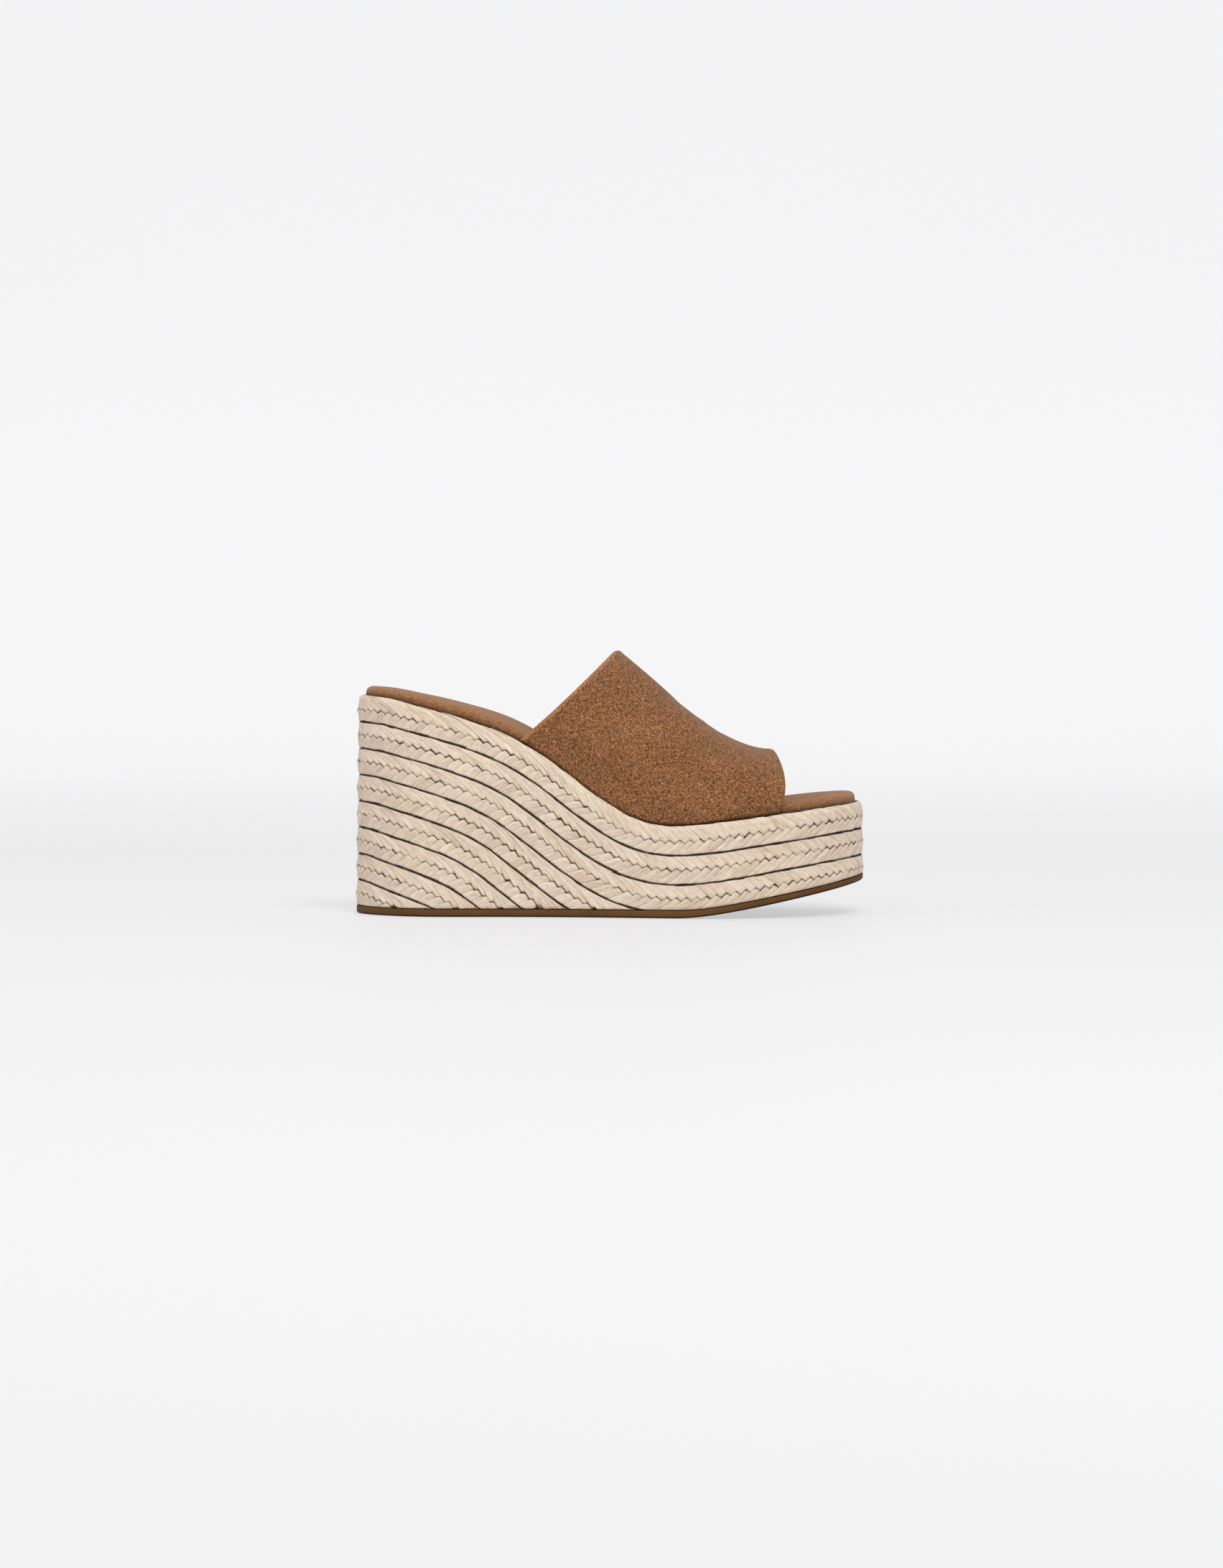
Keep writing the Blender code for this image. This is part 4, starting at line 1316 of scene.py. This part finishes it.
@dataclass
class Outsole:
    """Thin rubber sole: rounded lower edge, upright side, and soft wavy ribs underneath."""
    last: Last
    step_in: float = 0.0004      # of its side behind the wall's face
    bevel: float = 0.0011
    top_bevel: float = 0.0001
    rib_depth: float = 0.0006
    rib_pitch: float = 0.0062
    rib_wave: tuple[float, float] = (0.0016, 0.0230)
    rib_margin: float = 0.0050   # plain strip along the edge
    half: int = 420
    across: int = 28
    arc: int = 4

    def shell(self) -> Shell:
        """The sole, whose ribs are a cosine along it, shifted by a cosine across.

        They fade towards the edge.
        """
        last = self.last
        stations = last.stations(self.half)

        def under(x: Array, y: Array, way: Array) -> Array:
            """Height of the ribbed underside."""
            shift, period = self.rib_wave
            wavy = x + shift * np.cos(2 * math.pi * y / period)
            rib = 0.5 - 0.5 * np.cos(2 * math.pi * wavy / self.rib_pitch)
            side = np.minimum(way, 1 - way) * np.ptp(y, axis=1, keepdims=True)
            end = last.length / 2 - np.abs(x)
            inside = ease(side / self.rib_margin - 0.4) * ease(end / self.rib_margin - 0.6)
            return last.ground(x) + self.rib_depth * rib * inside

        levels = [(last.ground, self.bevel * (1 - math.cos(turn)), self.bevel * (1 - math.sin(turn)))
                  for turn in np.linspace(0, math.pi / 2, self.arc + 1)]
        levels += [(last.sole_top, -self.top_bevel, 0.0), (last.sole_top, 0.0, self.top_bevel)]
        rings = [last.ring(stations, lambda x: height(x) + rise, self.step_in + inwards)
                 for height, rise, inwards in levels]
        shell = plate(rings, lambda x, y, way: last.sole_top(x), under, self.across)
        above = shell.points[:, 2] - last.ground(shell.points[:, 0])
        # Painted contact shadow: 1 at the floor, fading out over the lower bevel.
        shell.values["floor_side"] = 1 - np.clip(above / (1.1 * self.bevel), 0, 1)
        return shell

    def dress(self, material: bpy.types.Material) -> bpy.types.Object:
        """Build the sole in place of the plain one."""
        return make_piece("sole", self.shell(), material, "outsole", merge=1e-7)


@dataclass
class Band:
    """The suede band over the foot, with turned edges and a thin lining."""
    last: Last
    inside: float = WRAP + FIT   # depth of its feet behind the wall's face
    wall: float = BAND_WALL
    tuck: float = 0.0060         # how far its feet reach below the wrap's top edge
    back_outer: float = BAND_BACK_OUTER
    back_inner: float = BAND_BACK_INNER
    front: float = BAND_FRONT
    throat_at: float = 0.1255    # where its ridge begins and ends, from the heel
    front_top_at: float = 0.1992
    throat_rise: float = 0.0431
    instep_rise: float = 0.0513
    front_rise: float = 0.0292
    ridge_to_inner: float = 0.0040
    bulge: float = 0.0018
    throat_bow: float = 0.0010
    front_bow: float = 0.0034
    lip: float = 0.0006
    throat_corner: tuple[float, float] = (0.012, 0.0035)    # share kept back, and reach of it
    front_corner: tuple[float, float] = (0.030, 0.0075)
    turned_bead: float = 0.00022
    turned_width: float = 0.0036
    # Painted highlight on the throat edge, and painted shade on the band just above the wrap:
    painted_highlight_width: float = 0.0013   # width of the throat edge's painted highlight
    contact: float = 0.0011      # height over which the band is dark above the wrap
    creases: tuple[Crease, ...] = (
        Crease(0.40, 0.470, 0.030, 0.050, 0.00032), Crease(0.56, 0.485, 0.026, 0.040, -0.00024),
        Crease(0.67, 0.470, 0.022, 0.050, 0.00030), Crease(0.20, 0.330, 0.050, 0.060, 0.00026),
        Crease(0.86, 0.280, 0.050, 0.080, 0.00032), Crease(0.10, 0.420, 0.030, 0.030, -0.00025),
        Crease(0.45, 0.620, 0.040, 0.060, 0.00032), Crease(0.72, 0.720, 0.050, 0.070, 0.00026))
    lining: float = 0.0006
    lining_inset: float = 0.0050
    stitch_pitch: float = 0.0030
    stitch_thickness: float = 0.00024
    stitch_share: float = 0.72   # of the pitch that a stitch covers
    stitch_inset: float = 0.0016     # from the lining's edge
    stitch_ends: float = 0.010   # stretch without stitches at both feet
    stitch_rings: int = 5
    stitch_sides: int = 6
    cells_along: int = 150
    cells_round: int = 200
    edge_cells: int = 8
    foot_cells: int = 4

    def __post_init__(self) -> None:
        """Lay out the splines along the band."""
        throat, instep, front = self.throat_rise, self.instep_rise, self.front_rise
        sections = [
            Section(0.000, 1.000 * throat, 2.00), Section(0.125, 0.887 * instep, 2.00),
            Section(0.250, 0.961 * instep, 2.02), Section(0.375, 1.000 * instep, 2.05),
            Section(0.500, 0.971 * instep, 2.10), Section(0.625, 0.863 * instep, 2.16),
            Section(0.750, 1.300 * front, 2.22), Section(0.875, 1.120 * front, 2.28),
            Section(1.000, 1.000 * front, 2.32)]
        self.rise_of = curve_of(sections, attrgetter("rise"))
        self.fullness_of = curve_of(sections, attrgetter("fullness"))

    def section(self, along: float, cells: int) -> Array:
        """Outer points of one section, from the tucked outer foot over the ridge to the inner one.

        Each half is a superellipse from the foot to the ridge, whose sides bow forwards and bulge
        out by a parabola of its height.
        """
        last = self.last
        outer_x = self.back_outer + (self.front - self.back_outer) * along - last.length / 2
        inner_x = self.back_inner + (self.front - self.back_inner) * along - last.length / 2
        ridge_x = self.throat_at + (self.front_top_at - self.throat_at) * along - last.length / 2
        middle = sum(last.wall(last.side_station(ridge_x, inner), 0.0, 0.0)[1]
                     for inner in (False, True)) / 2
        ridge_y = middle + self.ridge_to_inner * (1 - along)
        ridge_z = float(last.rim(outer_x) + self.rise_of(along))
        bow = self.throat_bow + (self.front_bow - self.throat_bow) * along
        power = 2 / float(self.fullness_of(along))
        way = np.linspace(0, 1, cells // 2 + 1)
        rise, out = np.sin(way * math.pi / 2) ** power, np.cos(way * math.pi / 2) ** power
        swell = 4 * rise * (1 - rise)
        halves = []
        drop = np.linspace(0, 1, self.foot_cells + 1)[:-1, None]
        for x, inner in ((outer_x, False), (inner_x, True)):
            at = last.side_station(x, inner)
            rim = float(last.rim(x))
            foot = last.wall(at, rim + self.lip, self.inside)
            bulge = self.bulge if inner else -self.bulge
            arch = np.stack([foot[0] + (ridge_x - foot[0]) * rise + bow * swell,
                             ridge_y + (foot[1] - ridge_y) * out + bulge * swell,
                             foot[2] + (ridge_z - foot[2]) * rise], axis=-1)
            tucked = last.wall(at, rim - self.tuck, self.inside)
            halves.append(np.vstack([tucked + (foot - tucked) * drop, arch]))
        return np.vstack([halves[0], halves[1][-2::-1]])

    def surface(self, shares: Array) -> tuple[Array, Array]:
        """Outer points and their outward normals.

        The band's corners at the ridge are rounded: near the ridge the cut edges keep back from
        the ends of the whole surface, by a share that falls off as a bell curve. A crease is a
        trough of the same form, or a ridge where its depth is negative.

        Args:
            shares: Shares of the way from the back edge to the front edge.

        Returns:
            Points and normals, round the band and along it.
        """
        even = np.linspace(0, 1, self.cells_along + 1)
        whole = np.stack([self.section(float(share), self.cells_round) for share in even], axis=1)
        ridge = whole.shape[0] // 2
        reach = np.linalg.norm(whole[:, 0] - whole[ridge, 0], axis=1)
        back = self.throat_corner[0] * np.exp(-(reach / self.throat_corner[1]) ** 2)
        reach = np.linalg.norm(whole[:, -1] - whole[ridge, -1], axis=1)
        front = 1 - self.front_corner[0] * np.exp(-(reach / self.front_corner[1]) ** 2)
        there = (back[:, None] + (front - back)[:, None] * shares) * self.cells_along
        cell = np.clip(there.astype(int), 0, self.cells_along - 1)
        part = (there - cell)[..., None]
        line = np.arange(len(whole))[:, None]
        outer = whole[line, cell] * (1 - part) + whole[line, cell + 1] * part
        normal = unit(np.cross(np.gradient(outer, axis=1), np.gradient(outer, axis=0)))
        way_round = line / (len(whole) - 1)
        for crease in self.creases:
            apart = ((shares - crease.along) / crease.wide) ** 2 \
                + ((way_round - crease.round) / crease.long) ** 2
            outer = outer - normal * (crease.depth * np.exp(-apart))[..., None]
        return outer, normal

    def wall_shell(self) -> Shell:
        """The wall: outer face, half-round front edge, inner face and half-round back edge.

        The turned edges stand a little proud, by a smooth bead of the edge's own width.
        """
        shares = np.linspace(0, 1, self.cells_along + 1)
        outer, normal = self.surface(shares)
        ends = np.minimum(shares, 1 - shares) * (self.front - self.back_outer)
        bead = self.turned_bead * (1 - ease(ends / self.turned_width))
        rounds = np.linspace(0, math.pi, self.edge_cells + 2)[1:-1]
        faces = [outer + normal * bead[None, :, None]]
        inner = outer - normal * self.wall

        def edge(end: int, beside: int) -> Array:
            """Half circle over the wall's edge, from the outer to the inner face."""
            forward = unit(outer[:, end] - outer[:, beside])
            top = outer[:, end] + normal[:, end] * self.turned_bead
            centre, reach = (top + inner[:, end]) / 2, (top - inner[:, end]) / 2
            half_wall = np.linalg.norm(reach, axis=-1, keepdims=True)[:, None]
            return centre[:, None] + reach[:, None] * np.cos(rounds)[None, :, None] \
                + forward[:, None] * half_wall * np.sin(rounds)[None, :, None]

        faces += [edge(-1, -2), inner[:, ::-1], edge(0, 1)[:, ::-1]]
        loops = np.concatenate(faces, axis=1)
        rows, size, _ = loops.shape
        # Painted shade just above the wrap, and a painted highlight on the throat edge and the outer
        # face beside it.
        above = loops[..., 2] - self.last.rim(loops[..., 0])
        from_back = shares * (self.front - self.back_outer)
        turned = np.concatenate([1 - np.clip(from_back / self.painted_highlight_width, 0, 1),
                                 np.zeros(self.edge_cells + len(shares)), np.ones(self.edge_cells)])
        return Shell(loops.reshape(-1, 3), tube_quads(rows, size, self.edge_cells // 2),
                     {"shade": np.clip(1.55 - above / self.contact, 0, 1).ravel(),
                      "turned": np.broadcast_to(turned, (rows, size)).ravel()}).outward()

    def lining_shell(self) -> Shell:
        """The lining: a thin sheet inside the wall that ends a little way from its edges.

        Its edges round over as the square root of a sine of the way from edge to edge.
        """
        inset = self.lining_inset / (self.front - self.back_outer)
        shares = np.linspace(inset, 1 - inset, self.cells_along // 2 + 1)
        outer, normal = self.surface(shares)
        from_edge = np.minimum(shares - shares[0], shares[-1] - shares) \
            * (self.front - self.back_outer)
        rise = self.lining * np.sqrt(np.sin(np.clip(from_edge / self.lining, 0, 1) * math.pi / 2))
        front = outer - normal * (self.wall - 0.0002)
        back = outer - normal * (self.wall + rise[None, :, None])
        loops = np.concatenate([front, back[:, ::-1]], axis=1)
        return Shell(loops.reshape(-1, 3), tube_quads(*loops.shape[:2])).outward()

    def stitches(self) -> Shell:
        """Stitches that hold the lining's edges: flat closed tubes along them, thin at both ends."""
        inset = (self.lining_inset + self.stitch_inset) / (self.front - self.back_outer)
        outer, normal = self.surface(np.array([0.0, inset, 1 - inset, 1.0]))
        rings, sides = self.stitch_rings, self.stitch_sides
        way = np.linspace(0, 1, rings)
        turn = (np.arange(sides) * 2 * math.pi / sides)[:, None]
        thick = (self.stitch_thickness * (0.35 + 0.65 * np.sin(way * math.pi)))[None, :, None, None]
        shells = []
        for column in (1, 2):
            line = outer[:, column] - normal[:, column] * (self.wall + self.lining)
            length = run_along(line)
            count = int((length[-1] - 2 * self.stitch_ends) / self.stitch_pitch)
            begins = self.stitch_ends + np.arange(count) * self.stitch_pitch
            along = begins[:, None] + way * self.stitch_pitch * self.stitch_share
            middle, outwards = (
                np.stack([np.interp(along, length, part) for part in table.T], axis=-1)
                for table in (line, normal[:, column]))
            beside = unit(np.cross(-outwards, np.gradient(middle, axis=1)))
            points = middle[:, :, None] + beside[:, :, None] * (np.cos(turn) * thick) \
                - outwards[:, :, None] * (0.7 * np.sin(turn) * thick)
            quads = repeated(tube_quads(rings, sides), count, rings * sides)
            shells.append(Shell(points.reshape(-1, 3), quads).outward())
        return joined(shells)

    def dress(self, suede: bpy.types.Material, leather: bpy.types.Material,
              thread: bpy.types.Material) -> list[bpy.types.Object]:
        """Build the band in place of the plain one, and its lining and stitches."""
        return [make_piece("band", self.wall_shell(), suede, "upper"),
                make_piece("band_lining", self.lining_shell(), leather),
                make_piece("band_stitches", self.stitches(), thread)]


# Studio

class Softbox(NamedTuple):
    """A square soft light: its name, place, side, power and colour."""
    name: str
    place: tuple[float, float, float]
    size: float
    watts: float
    colour: Colour


@dataclass
class Studio:
    """Floor with a curved backdrop, soft lights and the camera at the photograph's angle."""
    camera_at: tuple[float, float, float] = (0.0006, -2.5, 0.172)
    tilt: float = 2.532          # degrees downwards
    lens: float = 120.31
    sensor: float = 36.0
    floor_z: float = -0.0002
    sweep_start: float = 1.6
    sweep_radius: float = 2.2
    sweep_height: float = 3.0
    floor_front: float = -6.0
    half_width: float = 7.0
    softboxes: tuple[Softbox, ...] = (
        Softbox("key_softbox", (0.40, -1.5, 2.1), 1.1, 47.0, (1.0, 0.985, 0.965)),
        Softbox("side_softbox", (-1.8, -1.2, 1.2), 1.2, 10.0, (0.975, 0.985, 1.0)))
    look_at: tuple[float, float, float] = (0.0, 0.0, 0.05)
    air: tuple[float, float, float, float] = (0.97, 0.98, 1.0, 1.0)
    air_strength: float = 0.45

    def backdrop(self, material: bpy.types.Material) -> None:
        """Floor that runs back, curves up by a quarter circle and goes on as a wall."""
        turn = np.linspace(0, math.pi / 2, 33)
        y = np.concatenate([np.linspace(self.floor_front, self.sweep_start, 20)[:-1],
                            self.sweep_start + self.sweep_radius * np.sin(turn),
                            np.full(8, self.sweep_start + self.sweep_radius)])
        z = np.concatenate([np.zeros(19), self.sweep_radius * (1 - np.cos(turn)),
                            self.sweep_radius + np.linspace(0, self.sweep_height, 9)[1:]])
        x = np.linspace(-self.half_width, self.half_width, 9)
        points = np.stack(np.broadcast_arrays(x[None], y[:, None], z[:, None] + self.floor_z), axis=-1)
        mesh = bpy.data.meshes.new("studio_floor")
        mesh.from_pydata(points.reshape(-1, 3).tolist(), [], grid_quads(len(y), len(x)).tolist())
        mesh.shade_smooth()
        mesh.materials.append(material)
        floor = bpy.data.objects.new("studio_floor", mesh)
        bpy.context.scene.collection.objects.link(floor)

    def light(self, box: Softbox) -> None:
        """A square soft light that looks at the shoe."""
        lamp = bpy.data.lights.new(box.name, "AREA")
        lamp.shape, lamp.size, lamp.energy, lamp.color = "SQUARE", box.size, box.watts, box.colour
        item = bpy.data.objects.new(box.name, lamp)
        item.location = box.place
        bpy.context.scene.collection.objects.link(item)
        direction = np.array(self.look_at) - np.array(box.place)
        yaw = math.atan2(direction[0], -direction[1])
        pitch = math.atan2(math.hypot(direction[0], direction[1]), -direction[2])
        item.rotation_euler = (pitch, 0.0, math.pi + yaw)

    def build(self) -> None:
        """Make the floor, the lights, the world and the camera."""
        scene = bpy.context.scene
        self.backdrop(PaleFloor().make())
        for box in self.softboxes:
            self.light(box)
        world = bpy.data.worlds.new("studio_air")
        world.use_nodes = True
        background = world.node_tree.nodes["Background"].inputs
        background["Color"].default_value = self.air
        background["Strength"].default_value = self.air_strength
        scene.world = world
        scene.view_settings.view_transform = "Standard"
        camera = bpy.data.cameras.new("photo_camera")
        camera.lens, camera.sensor_width = self.lens, self.sensor
        camera.clip_start, camera.clip_end = 0.05, 60.0
        item = bpy.data.objects.new("photo_camera", camera)
        item.location = self.camera_at
        item.rotation_euler = (math.radians(90 - self.tilt), 0.0, 0.0)
        scene.collection.objects.link(item)
        scene.camera = item


def main() -> None:
    """Dress the shoe piece by piece and set up the studio."""
    logging.basicConfig(level=logging.INFO, format="%(message)s")
    last = Last()
    JuteWrap(last).dress(Jute().make())
    Footbed(last).dress(FOOTBED_SUEDE.make())
    Band(last).dress(BAND_SUEDE.make(), LINING_LEATHER.make(), TWISTED_THREAD.make())
    Outsole(last).dress(RUBBER.make())
    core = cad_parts["wedge_core"].data.materials
    core.clear()
    core.append(CLOSED_CELL_FOAM.make())
    Studio().build()


if __name__ == "__main__":
    main()
